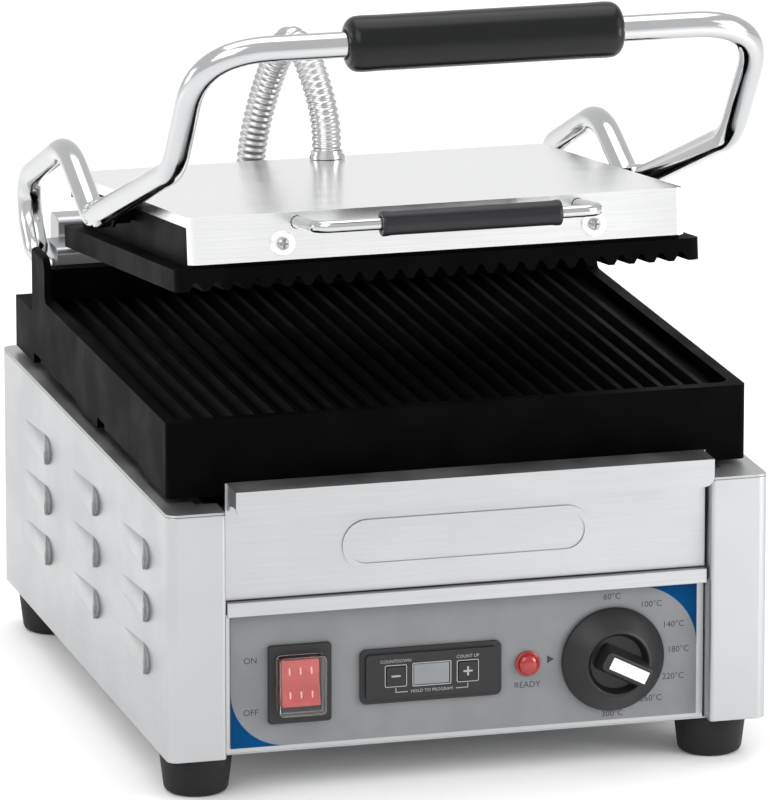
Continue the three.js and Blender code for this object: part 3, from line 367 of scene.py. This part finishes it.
def add_slab(bm, outline, low, high, place):
    """A flat outline in (u, v) with thickness from low to high along w, put where `place` says."""
    bottom = [bm.verts.new(place @ Vector((u, v, low))) for u, v in outline]
    top = [bm.verts.new(place @ Vector((u, v, high))) for u, v in outline]
    count = len(outline)
    for k in range(count):
        after = (k + 1) % count
        bm.faces.new((bottom[k], bottom[after], top[after], top[k]))
    bm.faces.new(bottom[::-1])
    bm.faces.new(top)


def arc(center, radius, start, end, steps=8):
    """Points on an arc, angles in degrees."""
    angles = [math.radians(start + (end - start) * k / steps) for k in range(steps + 1)]
    return [(center[0] + radius * math.cos(a), center[1] + radius * math.sin(a)) for a in angles]


def rounded_rect(u0, u1, v0, v1, radius, steps=6):
    return [
        *arc((u1 - radius, v0 + radius), radius, -90, 0, steps),
        *arc((u1 - radius, v1 - radius), radius, 0, 90, steps),
        *arc((u0 + radius, v1 - radius), radius, 90, 180, steps),
        *arc((u0 + radius, v0 + radius), radius, 180, 270, steps),
    ]


def bent_route(corners, radii, steps=14):
    """Points through corners, with each corner eased by a curve of its own radius."""
    route = [corners[0]]
    for before, corner, after, radius in zip(corners, corners[1:], corners[2:], radii):
        inward = (corner - before).normalized()
        onward = (after - corner).normalized()
        reach = radius * math.tan(inward.angle(onward) / 2)
        start, end = corner - inward * reach, corner + onward * reach
        for k in range(steps + 1):
            t = k / steps
            route.append(start.lerp(corner, t).lerp(corner.lerp(end, t), t))
    route.append(corners[-1])
    return route


def even_route(route, spacing):
    """The same line with points at an even spacing."""
    lengths = [0.0]
    for here, ahead in zip(route, route[1:]):
        lengths.append(lengths[-1] + (ahead - here).length)
    count = max(2, round(lengths[-1] / spacing))
    spaced = []
    segment = 0
    for k in range(count + 1):
        distance = lengths[-1] * k / count
        while segment < len(lengths) - 2 and lengths[segment + 1] < distance:
            segment += 1
        span = max(lengths[segment + 1] - lengths[segment], 1e-9)
        spaced.append(route[segment].lerp(route[segment + 1], (distance - lengths[segment]) / span))
    return spaced


# ---- the CAD nodes that stay as they are -----------------------------------------------------
for name, cad_node in NODES.items():
    cad_node.data.materials.clear()
    cad_node.data.materials.append(SLOT_LOOK[SLOT_OF[name]])

# ---- pieces whose CAD shape only needs rounded edges -----------------------------------------
ROUNDED = {
    "rear_panel": (0.5 * MM, STEEL_FRONT), "bottom_plate": (0.3 * MM, STEEL_FRONT),
    "control_panel": (0.4 * MM, STEEL_FRONT), "tray_shelf": (0.4 * MM, STEEL_FRONT),
    "drip_tray": (0.5 * MM, STEEL_FRONT), "hinge_housing": (0.5 * MM, STEEL_FRONT),
    # The upper cover takes the brighter steel copy, with painted light on its top.
    "wiring_cover": (0.5 * MM, STEEL_FRONT), "upper_cover": (0.6 * MM, STEEL_PAINTED_BRIGHT),
    "lower_grill_plate": (0.7 * MM, IRON), "upper_grill_plate": (0.7 * MM, IRON),
    "panel_label": (0.1 * MM, LABEL), "rocker_switch_body": (0.4 * MM, BLACK),
    "rocker_clear_cover": (0.3 * MM, CLEAR), "timer_case": (0.35 * MM, BLACK),
    "timer_display": (0.15 * MM, DISPLAY), "timer_key_minus": (0.3 * MM, BLACK),
    "timer_key_plus": (0.3 * MM, BLACK), "rocker_key": (0.5 * MM, LIT_RED),
    "mains_cable_gland": (0.5 * MM, BLACK),
    "cover_washer_left": (0.2 * MM, WASHER_METAL), "cover_washer_right": (0.2 * MM, WASHER_METAL),
    "cover_screw_left": (0.15 * MM, SCREW_METAL), "cover_screw_right": (0.15 * MM, SCREW_METAL),
    "conduit_fitting_base": (0.4 * MM, CHROME), "conduit_fitting_cover": (0.4 * MM, CHROME),
    "hinge_shaft": (0.6 * MM, SPRING), "knob_pointer": (0.25 * MM, WHITE),
}
for name, (edge, look) in ROUNDED.items():
    refined(name, edge, look)


# ---- side panels: a folded sheet with pressed louvres ----------------------------------------
SHEET = 1.2 * MM
PANEL_OUTER_X = 145 * MM
POST_WIDTH = 28 * MM            # how far a panel wraps round the front and the rear
POST_RETURN_Y = 18 * MM         # how far each post's return runs from the front or rear face
PANEL_CORNER = 5 * MM
TOP_FLANGE = 18 * MM
INNER_FOLD = 2 * MM
LOUVRE_LENGTH = 41 * MM
LOUVRE_NOSE = 12 * MM           # how far the lip bulges to the front
LOUVRE_TAIL = 5 * MM            # how far the tail bulges to the rear
LOUVRE_HALF_HEIGHT = 7.4 * MM
LOUVRE_TAIL_HALF_HEIGHT = 4.8 * MM
LOUVRE_RISE = 3.4 * MM
LOUVRE_WALL = 0.9 * MM
LOUVRE_THROAT_DEPTH = 1.5 * MM
LOUVRE_MOUTHS_Y = [-108.5 * MM, -9.5 * MM, 89.5 * MM]
LOUVRE_ROWS_Z = [59.5 * MM, 84.8 * MM, 110.1 * MM]


def add_louvre(bm, side, face_x, mouth_y, row_z):
    """A blister lanced out of the side, with an open rounded lip at its front."""
    lengthwise, across = 14, 24
    turns = [math.pi * k / across for k in range(across + 1)]

    def ring(along, rise, setback=0.0):
        """The blister's section at a share of its length, shifted to the rear by the setback."""
        half = LOUVRE_HALF_HEIGHT + (LOUVRE_TAIL_HALF_HEIGHT - LOUVRE_HALF_HEIGHT) * along
        height = rise * (1 - along) ** 0.9
        bulge = LOUVRE_TAIL * along - LOUVRE_NOSE * (1 - along)
        return [
            bm.verts.new((
                face_x + side * height * math.sin(turn) ** 1.2,
                mouth_y + LOUVRE_LENGTH * along + bulge * math.sin(turn) + setback,
                row_z + half * math.cos(turn),
            ))
            for turn in turns
        ]

    def skin(front, rear, look):
        for k in range(across):
            face = bm.faces.new((front[k], front[k + 1], rear[k + 1], rear[k]))
            face.material_index = look

    body = [ring(i / lengthwise, LOUVRE_RISE) for i in range(lengthwise + 1)]
    under_lip = ring(0, LOUVRE_RISE - LOUVRE_WALL)
    # The throat and a floor that closes the opening take material 1, a grey with the shade inside the
    # louvre painted on.
    throat = ring(0, LOUVRE_RISE - LOUVRE_WALL, LOUVRE_THROAT_DEPTH)
    floor = ring(0, 0.05 * MM, LOUVRE_THROAT_DEPTH)
    for front, rear in zip(body, body[1:]):
        skin(front, rear, 0)
    skin(under_lip, body[0], 0)
    skin(throat, under_lip, 1)
    skin(floor, throat, 1)


def side_panel(word, side):
    low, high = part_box(f"{word}_side_panel")
    outer_x = side * PANEL_OUTER_X
    inner_x = side * (PANEL_OUTER_X - POST_WIDTH)

    def wall_line(inset):
        """The sheet's line in plan from one return round to the other, inset from its face."""
        reach_x = PANEL_OUTER_X - inset
        root_x = PANEL_OUTER_X - POST_WIDTH + inset
        front, rear = low.y + inset, high.y - inset
        radius = PANEL_CORNER - inset
        fold = INNER_FOLD - inset
        line = [
            (root_x, low.y + POST_RETURN_Y),
            *arc((root_x + fold, front + fold), fold, 180, 270),
            *arc((reach_x - radius, front + radius), radius, 270, 360),
            *arc((reach_x - radius, rear - radius), radius, 0, 90),
            *arc((root_x + fold, rear - fold), fold, 90, 180),
            (root_x, high.y - POST_RETURN_Y),
        ]
        return [(side * x, y) for x, y in line]

    bm = bmesh.new()
    upright = Matrix.Identity(4)
    outer = wall_line(0)
    add_slab(bm, [*outer, *reversed(wall_line(SHEET))], low.z, high.z - SHEET, upright)
    flange_x = outer_x - side * TOP_FLANGE
    lid = [*outer[:-1], (inner_x, high.y - POST_RETURN_Y), (flange_x, high.y - POST_RETURN_Y),
           (flange_x, low.y + POST_RETURN_Y)]
    add_slab(bm, lid, high.z - SHEET, high.z, upright)
    panel = made(f"{word}_side_panel_look", bm, STEEL_SIDE, ALL_SMOOTH)
    round_edges(panel, 0.5 * MM, 3, 40)
    stands_for(panel, f"{word}_side_panel")

    bm = bmesh.new()
    for mouth_y in LOUVRE_MOUTHS_Y:
        for row_z in LOUVRE_ROWS_Z:
            add_louvre(bm, side, outer_x - side * 0.02 * MM, mouth_y, row_z)
    louvres = made(f"{word}_louvres", bm, STEEL_SIDE, 50)
    # Material 1 is the grey painted shade inside each louvre's throat.
    louvres.data.materials.append(LOUVRE_PAINTED_SHADE)
    trim(louvres, "base")


for word, side in SIDES:
    side_panel(word, side)

# ---- feet -----------------------------------------------------------------------------------
FOOT_PROFILE = [                # (radius, height) in millimetres
    (0, 1.2), (4, 1.2), (4, 0), (11.8, 0), (13.2, 0.3), (14.6, 1.2), (15.2, 2.4), (15.3, 3.4),
    (15.6, 5.6), (17.2, 18.9), (17.0, 19.6), (16.4, 19.8), (0, 19.8),
]
FEET = ("foot_front_left", "foot_front_right", "foot_rear_left", "foot_rear_right")
for name in FEET:
    low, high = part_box(name)
    center = Vector(((low.x + high.x) / 2, (low.y + high.y) / 2, 0))
    bm = bmesh.new()
    add_turned(bm, [(r * MM, z * MM) for r, z in FOOT_PROFILE], Matrix.Translation(center), 56)
    stands_for(made(f"{name}_look", bm, RUBBER, 30), name)

# ---- bail, grips and front handle ------------------------------------------------------------
ROD_RADIUS = 6 * MM
ROD_END_LENGTH = 7 * MM
ROD_END_DROP = 2.6 * MM
ARM_X = 133.6 * MM
ROD_START = (3.9, 6.2)          # (y, z) of each end from the hinge, in millimetres
BAIL_BENDS = [                  # (y, z) from the hinge and bend radius, in millimetres
    (19.5, 22, 18), (24.8, 42.8, 16), (-59.2, 77.6, 46), (-113, 54.2, 12), (-270.8, 112.3, 45),
    (-319, 177, 34),
]
# Turned profiles in millimetres: (radius, distance outward from the middle of the rod).
HINGE_EYE = [(5.3, -5.2), (7.9, -5.2), (8.3, -4.8), (8.3, 0.7), (7.8, 1.2), (0, 1.3)]
PIVOT_HUB = [(3.3, -6), (6.9, -6), (7.4, -5.5), (7.4, 2.4), (6.6, 4.0), (4.8, 4.6), (0, 4.7)]
WELD_OUTWARD = 4.9 * MM         # from the middle of the rod
BEAD_RADII = (1.5 * MM, 1.3 * MM, 1.2 * MM)
WELD_BEADS = [                  # (y, z) from the hinge, in the crease of the V
    (-120.4, 61.4), (-119.9, 59.5), (-119, 57.6), (-118.4, 55.6), (-118.8, 53.6), (-117.2, 58.9),
]


def bail():
    def side_points(side):
        return [Vector((side * ARM_X, HINGE.y + y * MM, HINGE.z + z * MM)) for y, z, _ in BAIL_BENDS]

    def root(side):
        y, z = ROD_START
        return Vector((side * ARM_X, HINGE.y + y * MM, HINGE.z + z * MM))

    radii = [radius * MM for _, _, radius in BAIL_BENDS]
    corners = [root(-1), *side_points(-1), *reversed(side_points(1)), root(1)]
    bm = bmesh.new()
    route = even_route(bent_route(corners, [*radii, *reversed(radii)]), 2.5 * MM)
    length = sum((b - a).length for a, b in zip(route, route[1:]))

    def rod_radius(distance):
        """The rod narrows to a rounded end where it is welded to its hinge eye."""
        share = max(0.0, 1 - min(distance, length - distance) / ROD_END_LENGTH)
        return ROD_RADIUS - ROD_END_DROP * share ** 1.5

    add_tube(bm, route, rod_radius, 32)
    for side in (-1, 1):
        outward = Matrix.Rotation(side * math.pi / 2, 4, "Y")
        at_hinge = Matrix.Translation((side * ARM_X, HINGE.y, HINGE.z)) @ outward
        add_turned(bm, [(r * MM, z * MM) for r, z in HINGE_EYE], at_hinge)
        at_pivot = Matrix.Translation((side * ARM_X, PIVOT.y, PIVOT.z)) @ outward
        add_turned(bm, [(r * MM, z * MM) for r, z in PIVOT_HUB], at_pivot)
        for y, z in WELD_BEADS:
            bead = Vector((side * (ARM_X + WELD_OUTWARD), HINGE.y + y * MM, HINGE.z + z * MM))
            size = Matrix.Diagonal((*BEAD_RADII, 1))
            bmesh.ops.create_icosphere(
                bm, subdivisions=2, radius=1, matrix=Matrix.Translation(bead) @ size)
    stands_for(made("bail_rod", bm, CHROME, 40), "lift_bail")


bail()


def grip_profile(radius, half_length, bore, rounding, steps=8):
    """A sleeve with rounded ends, slightly waisted in the middle, and chamfered at its bore."""
    swell, swell_run, waist_run = 0.15 * MM, 2 * MM, 16 * MM
    chamfer_depth, chamfer_width = 1.2 * MM, 0.8 * MM
    end = [
        (radius - rounding + rounding * math.sin(a), half_length - rounding + rounding * math.cos(a))
        for a in (math.pi / 2 * k / steps for k in range(steps + 1))
    ]
    waist = [(radius + swell, half_length - rounding - swell_run), (radius, half_length - waist_run)]
    mouth = [(bore, half_length - chamfer_depth), (bore + chamfer_width, half_length)]
    upper_half = [*mouth, *end, *waist]
    return [*upper_half, *[(r, -z) for r, z in reversed(upper_half)]]


LIFT_GRIP_RADIUS = 12.8 * MM
LIFT_GRIP_BORE = 6.3 * MM
LIFT_GRIP_ROUNDING = 5.5 * MM
low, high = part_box("lift_handle_grip")
lift_grip_place = Matrix.Translation((low + high) / 2) @ Matrix.Rotation(math.pi / 2, 4, "Y")
bm = bmesh.new()
lift_grip = grip_profile(
    LIFT_GRIP_RADIUS, (high.x - low.x) / 2, LIFT_GRIP_BORE, LIFT_GRIP_ROUNDING)
add_turned(bm, lift_grip, lift_grip_place, 64)
stands_for(made("lift_grip", bm, GRIP, 40), "lift_handle_grip")

FRONT_HANDLE_X = 68             # millimetres in the upper plate's frame, to each side
FRONT_HANDLE_BEND = 9 * MM
FRONT_ROD_RADIUS = 2.9 * MM
FRONT_HANDLE_ROOT = (-114.5, 2.4)    # (y, z) in the upper plate's frame, in millimetres
FRONT_HANDLE_REACH = (-154, 3.5)
FRONT_SLEEVE = {"x": 5, "half": 43}  # its middle and half its length, in millimetres


def upper_point(x, y, z):
    return UPPER @ Vector((x * MM, y * MM, z * MM))


bm = bmesh.new()
handle_corners = [
    upper_point(-FRONT_HANDLE_X, *FRONT_HANDLE_ROOT), upper_point(-FRONT_HANDLE_X, *FRONT_HANDLE_REACH),
    upper_point(FRONT_HANDLE_X, *FRONT_HANDLE_REACH), upper_point(FRONT_HANDLE_X, *FRONT_HANDLE_ROOT),
]
handle_route = even_route(bent_route(handle_corners, [FRONT_HANDLE_BEND] * 2), 1.5 * MM)
add_tube(bm, handle_route, lambda _: FRONT_ROD_RADIUS, 24)
stands_for(made("front_handle_bar", bm, CHROME, 40), "front_handle_rod")

bm = bmesh.new()
half = FRONT_SLEEVE["half"]
sleeve_profile = [
    (3.2, half - 2), (3.5, half), (5.6, half), (6.0, half - 0.5), (6.0, half - 2.4), (5.7, half - 4.5),
]
sleeve_profile += [(r, -z) for r, z in reversed(sleeve_profile)]
sleeve_place = (UPPER @ Matrix.Translation((FRONT_SLEEVE["x"] * MM, FRONT_HANDLE_REACH[0] * MM,
                                            FRONT_HANDLE_REACH[1] * MM))
                @ Matrix.Rotation(math.pi / 2, 4, "Y"))
add_turned(bm, [(r * MM, z * MM) for r, z in sleeve_profile], sleeve_place, 48)
stands_for(made("front_handle_sleeve", bm, SLEEVE, 40), "front_handle_grip")

# ---- raised lines on the rocker, three at each end -------------------------------------------
ROCKER_AXIS = JOINT_AT["rocker_press"]
ROCKER_REST_ANGLE = -8          # degrees
ROCKER_PLACE = (Matrix.Translation(ROCKER_AXIS)
                @ Matrix.Rotation(math.radians(ROCKER_REST_ANGLE), 4, "X")
                @ Matrix.Rotation(math.pi / 2, 4, "X"))
ROCKER_LINE_X = (-5.3, 0, 5.3)  # millimetres
ROCKER_LINE_ROWS = ((-6.6, 6), (6.6, -6))    # (z in millimetres, lean in degrees) of each end
ROCKER_FACE = 4.75              # millimetres from the axis out to the key's face
LINE_HALF_WIDTH = 0.32 * MM
LINE_HALF_HEIGHT = 2.7 * MM
bm = bmesh.new()
for z, lean in ROCKER_LINE_ROWS:
    for x in ROCKER_LINE_X:
        line = rounded_rect(
            -LINE_HALF_WIDTH, LINE_HALF_WIDTH, -LINE_HALF_HEIGHT, LINE_HALF_HEIGHT, 0.3 * MM, 3)
        place = (ROCKER_PLACE @ Matrix.Translation((x * MM, z * MM, ROCKER_FACE * MM))
                 @ Matrix.Rotation(math.radians(lean), 4, "X"))
        add_slab(bm, line, -0.2 * MM, 0.2 * MM, place)
trim(made("rocker_lines", bm, RED_LINE), "rocker")

# ---- thermostat knob -------------------------------------------------------------------------
POINTER_ANGLE = math.radians(-27)
_, knob_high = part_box("thermostat_knob")
# The knob's own frame: X along the pointer, Z out of the panel.
KNOB_PLACE = (Matrix.Translation((KNOB_AXIS.x, knob_high.y, KNOB_AXIS.z))
              @ Matrix.Rotation(math.pi / 2, 4, "X") @ Matrix.Rotation(POINTER_ANGLE, 4, "Z"))
KNOB_PROFILE = [                # (radius, distance out from its back) in millimetres
    (3.3, 0.2), (24.4, 0), (25, 0.5), (25, 1.4), (24.6, 2.0), (20.3, 6.1), (16.2, 10.2), (15.7, 10.6),
    (15.0, 10.7), (14.5, 10.4), (13.2, 7.0), (12.6, 6.5), (0, 6.5),
]
bm = bmesh.new()
add_turned(bm, [(r * MM, z * MM) for r, z in KNOB_PROFILE], KNOB_PLACE, 96)
stands_for(made("dial_skirt", bm, BLACK, 34), "thermostat_knob")


def dial_fin():
    """A tapered fin across the dial, from (height, half width) levels in millimetres."""
    levels = [(5, 7.0), (9, 6.2), (13, 5.3), (16.2, 4.7), (16.8, 4.5), (17.0, 4.1)]
    top_z, tail_x, nose_x, tail_slope = 17.0, -9.5, 15.4, 0.05
    bm = bmesh.new()
    rings = []
    for z, half_width in levels:
        root_x = tail_x - (top_z - z) * tail_slope
        outline = rounded_rect(root_x, nose_x, -half_width, half_width, 2.6, 5)
        rings.append([bm.verts.new(KNOB_PLACE @ Vector((u * MM, v * MM, z * MM))) for u, v in outline])
    for low_ring, high_ring in zip(rings, rings[1:]):
        count = len(low_ring)
        for k in range(count):
            after = (k + 1) % count
            bm.faces.new((low_ring[k], low_ring[after], high_ring[after], high_ring[k]))
    bm.faces.new(rings[0][::-1])
    bm.faces.new(rings[-1])
    return made("dial_fin", bm, BLACK, 34)


trim(dial_fin(), "knob")

# ---- ready lamp ------------------------------------------------------------------------------
lamp_low, lamp_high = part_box("ready_lamp")
lamp_center = (lamp_low + lamp_high) / 2
LAMP_PLACE = (Matrix.Translation((lamp_center.x, lamp_low.y, lamp_center.z))
              @ Matrix.Rotation(math.pi / 2, 4, "X"))
LENS_PROFILE = [                # (radius, distance out from the lens's tip) in millimetres
    (4.9, -17.4), (4.9, -4.4), (5.8, -4.4), (6.0, -4.1), (6.0, -3.3), (5.7, -3.0), (5.3, -3.0),
    (5.1, -2.5), (4.7, -1.7), (4.0, -0.95), (3.1, -0.42), (2.1, -0.14), (1.0, -0.02), (0, 0),
]
bm = bmesh.new()
add_turned(bm, [(r * MM, z * MM) for r, z in LENS_PROFILE], LAMP_PLACE, 48)
stands_for(made("ready_lens", bm, LENS_RED, 50), "ready_lamp")

# ---- flexible conduit: rings of corrugation along one arch -----------------------------------
CONDUIT_RADIUS = 7.3 * MM
CONDUIT_GROOVE = 0.75 * MM
CONDUIT_PITCH = 3.3 * MM
CONDUIT_SPLIT = 0.6             # the share of its length that is in the lower stretch
CONDUIT_POINTS = [              # the arch in millimetres, from the wiring cover to the upper cover
    (-20, 171.2, 220.7), (-19.8, 171.2, 230), (-18, 171, 242), (-15, 169.8, 256), (-11.9, 167, 269),
    (-8.6, 162.3, 281), (-4.4, 153.4, 291.4), (0.1, 144.2, 287.2), (3.3, 138.2, 276.6),
    (5.8, 133.7, 265.2), (7.3, 130.5, 253), (7.5, 128.9, 241),
]


def smooth_route(points, steps=16):
    """A centripetal Catmull-Rom curve through the points."""
    ends = [2 * points[0] - points[1], *points, 2 * points[-1] - points[-2]]
    route = []
    for p0, p1, p2, p3 in zip(ends, ends[1:], ends[2:], ends[3:]):
        t1 = math.sqrt((p1 - p0).length)
        t2 = t1 + math.sqrt((p2 - p1).length)
        t3 = t2 + math.sqrt((p3 - p2).length)
        for k in range(steps):
            t = t1 + (t2 - t1) * k / steps
            a1 = p0 * ((t1 - t) / t1) + p1 * (t / t1)
            a2 = p1 * ((t2 - t) / (t2 - t1)) + p2 * ((t - t1) / (t2 - t1))
            a3 = p2 * ((t3 - t) / (t3 - t2)) + p3 * ((t - t2) / (t3 - t2))
            b1 = a1 * ((t2 - t) / t2) + a2 * (t / t2)
            b2 = a2 * ((t3 - t) / (t3 - t1)) + a3 * ((t - t1) / (t3 - t1))
            route.append(b1 * ((t2 - t) / (t2 - t1)) + b2 * ((t - t1) / (t2 - t1)))
    route.append(points[-1])
    return route


def corrugation(distance):
    wave = 0.5 - 0.5 * math.cos(2 * math.pi * distance / CONDUIT_PITCH)
    return CONDUIT_RADIUS - CONDUIT_GROOVE * wave ** 1.6


CONDUIT_STEP = 0.4 * MM         # fine enough to draw each ring
conduit_route = even_route(
    smooth_route([Vector(p) * MM for p in CONDUIT_POINTS]), CONDUIT_STEP)
split_at = round(CONDUIT_SPLIT * len(conduit_route))
for word, stretch, bodies in (
    ("lower", conduit_route[:split_at + 1], ("base", "arm")),
    ("upper", conduit_route[split_at:], ("arm", "upper")),
):
    bm = bmesh.new()
    add_tube(bm, stretch, corrugation, 30)
    conduit = made(f"conduit_{word}", bm, CONDUIT_STEEL, 80)
    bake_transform(conduit)
    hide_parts(f"flexible_conduit_{word}")

# ---- print on the label and timer ------------------------------------------------------------
label_low, label_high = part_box("panel_label")
PRINT_THICKNESS = 0.06 * MM


def facing_front(y):
    """A frame whose (u, v) are the row's X and Z in millimetres, on a face at y, w to the front."""
    place = Matrix.Translation((0, y, 0)) @ Matrix.Rotation(math.pi / 2, 4, "X")
    return place @ Matrix.Diagonal((MM, MM, 1, 1))


def printed(name, outlines, y, look, body="base"):
    """Thin ink shapes on a face at y. Each outline is in millimetres in (x, z)."""
    bm = bmesh.new()
    for outline in outlines:
        add_slab(bm, outline, 0.01 * MM, PRINT_THICKNESS, facing_front(y))
    return trim(made(name, bm, look), body)


def lettering(name, words, y, look, body="base"):
    """Printed words. Each entry is (text, x, z, letter height) in millimetres, centred."""
    capital_share = 0.7         # how much of the font's size a capital letter takes up
    bm = bmesh.new()
    for text, x, z, height in words:
        curve = bpy.data.curves.new("words", "FONT")
        curve.body = text
        curve.size = height / capital_share
        curve.align_x = "CENTER"
        curve.align_y = "CENTER"
        curve.resolution_u = 3
        holder = bpy.data.objects.new("words", curve)
        flat = bpy.data.meshes.new_from_object(holder)
        flat.transform(facing_front(y - 0.04 * MM) @ Matrix.Translation((x, z, 0)))
        bm.from_mesh(flat)
        bpy.data.objects.remove(holder)
        bpy.data.curves.remove(curve)
        bpy.data.meshes.remove(flat)
    return trim(made(name, bm, look), body)


BLUE_LEFT_RADIUS = 27.2
BLUE_RIGHT_RADIUS = 30.6
left_x, right_x = label_low.x / MM, label_high.x / MM
bottom_z, top_z = label_low.z / MM, label_high.z / MM
printed("label_blue_corners", [
    [(left_x, bottom_z), *arc((left_x + BLUE_LEFT_RADIUS, bottom_z + BLUE_LEFT_RADIUS),
                              BLUE_LEFT_RADIUS, 270, 180, 16)],
    [(right_x, top_z), *arc((right_x - BLUE_RIGHT_RADIUS, top_z - BLUE_RIGHT_RADIUS),
                            BLUE_RIGHT_RADIUS, 90, 0, 16)],
], label_low.y, LABEL_BLUE)

DIAL_MARKS = [
    ("60°C", 71.5, 83.3), ("100°C", 90.6, 78.3), ("140°C", 101.6, 67.7), ("180°C", 104, 55.4),
    ("220°C", 101.6, 42.4), ("260°C", 90.8, 32.4), ("300°C", 71.9, 26.4),
]
WORD_HEIGHT = 2.9
lettering("label_words", [
    *[(text, x, z, WORD_HEIGHT) for text, x, z in DIAL_MARKS],
    ("ON", -103.5, 65.2, WORD_HEIGHT), ("OFF", -103.4, 40.1, WORD_HEIGHT),
    ("READY", 30.3, 43.6, WORD_HEIGHT),
], label_low.y, PRINT_DARK)
printed("label_arrow", [[(39.9, 57.1), (39.9, 53.3), (43.3, 55.2)]], label_low.y, PRINT_DARK)

timer_low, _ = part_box("timer_case")
TIMER_Z = 53.7                  # the height of its keys and display, in millimetres
TIMER_WORD_HEIGHT = 1.5
KEYS = {"minus": -34.4, "plus": 0.4}


def line_frame(x, z, half_width, half_height, thickness, corner):
    """The four strips of a rectangular printed outline."""
    outer = rounded_rect(x - half_width, x + half_width, z - half_height, z + half_height, corner, 4)
    inner = rounded_rect(x - half_width + thickness, x + half_width - thickness,
                         z - half_height + thickness, z + half_height - thickness,
                         max(0.1, corner - thickness), 4)
    count = len(outer)
    return [[outer[k], outer[(k + 1) % count], inner[(k + 1) % count], inner[k]] for k in range(count)]


def strip(x0, x1, z0, z1):
    return [(x0, z0), (x1, z0), (x1, z1), (x0, z1)]


printed("timer_lines", [
    *line_frame(-17, TIMER_Z, 9.4, 5.7, 0.45, 0.6),
    *line_frame(KEYS["minus"], TIMER_Z, 5.35, 5.35, 0.4, 0.8),
    *line_frame(KEYS["plus"], TIMER_Z, 5.35, 5.35, 0.4, 0.8),
    strip(-34.6, -34.2, 45.9, 47.9), strip(-34.6, -28.6, 45.6, 46),
    strip(0.2, 0.6, 45.9, 47.9), strip(-5.4, 0.6, 45.6, 46),
], timer_low.y, PRINT_LIGHT)
lettering("timer_words", [
    ("COUNTDOWN", KEYS["minus"], 60.8, TIMER_WORD_HEIGHT),
    ("COUNT UP", KEYS["plus"], 60.8, TIMER_WORD_HEIGHT),
    ("HOLD TO PROGRAM", -17, 45.8, TIMER_WORD_HEIGHT),
], timer_low.y, PRINT_LIGHT)
for word, x in KEYS.items():
    key_low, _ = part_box(f"timer_key_{word}")
    marks = [strip(x - 2.2, x + 2.2, TIMER_Z - 0.45, TIMER_Z + 0.45)]
    if word == "plus":
        marks += [strip(x - 0.45, x + 0.45, TIMER_Z + 0.45, TIMER_Z + 2.2),
                  strip(x - 0.45, x + 0.45, TIMER_Z - 2.2, TIMER_Z - 0.45)]
    printed(f"timer_{word}_mark", marks, key_low.y, PRINT_LIGHT, f"key_{word}")

# ---- camera ----------------------------------------------------------------------------------
camera_data = bpy.data.cameras.new("camera")
camera_data.lens = 410.0
camera_data.sensor_width = 36.0
camera_data.clip_end = 50.0
camera = bpy.data.objects.new("camera", camera_data)
camera.location = (-1.1201, -4.0780, 1.2319)
camera.rotation_euler = (math.radians(75.61), 0, math.radians(-15.38))
bpy.context.scene.collection.objects.link(camera)
bpy.context.scene.camera = camera

# ---- floor, world and studio light -----------------------------------------------------------
bpy.ops.mesh.primitive_plane_add(size=12, location=(0, 2.0, 0))
floor = bpy.context.object
floor.name = "floor"
floor_look = Recipe("pale_floor", (0.95, 0.95, 0.95), 0.75)
floor_look.vary_color(floor_look.noise(3, 2), (0.94, 0.94, 0.94), (0.96, 0.96, 0.96))
floor.data.materials.append(floor_look.material)

world = bpy.data.worlds.new("studio")
bpy.context.scene.world = world
world.use_nodes = True
background = world.node_tree.nodes["Background"]
background.inputs["Color"].default_value = (1.0, 1.0, 1.0, 1)
background.inputs["Strength"].default_value = 0.85


def softbox(name, location, target, size, power):
    light = bpy.data.lights.new(name, "AREA")
    light.shape = "RECTANGLE"
    light.size, light.size_y = size
    light.energy = power
    holder = bpy.data.objects.new(name, light)
    holder.location = location
    holder.rotation_euler = (Vector(target) - Vector(location)).to_track_quat("-Z", "Y").to_euler()
    bpy.context.scene.collection.objects.link(holder)


TARGET = (0, 0, 0.18)
softbox("key_light", (-1.9, -1.8, 2.4), TARGET, (2.4, 2.2), 38)
softbox("fill_light", (2.6, -1.7, 1.3), TARGET, (2.0, 2.2), 22)
softbox("front_floor_light", (0.62, -0.6, 0.28), (0.22, -0.45, 0), (0.35, 0.35), 2.2)
softbox("side_floor_light", (-0.95, 0.35, 0.4), (-0.35, 0.15, 0), (0.4, 0.4), 1.2)
softbox("top_light", (0.1, 0.4, 2.6), TARGET, (2.6, 2.2), 30)
bpy.context.scene.view_settings.view_transform = "Standard"
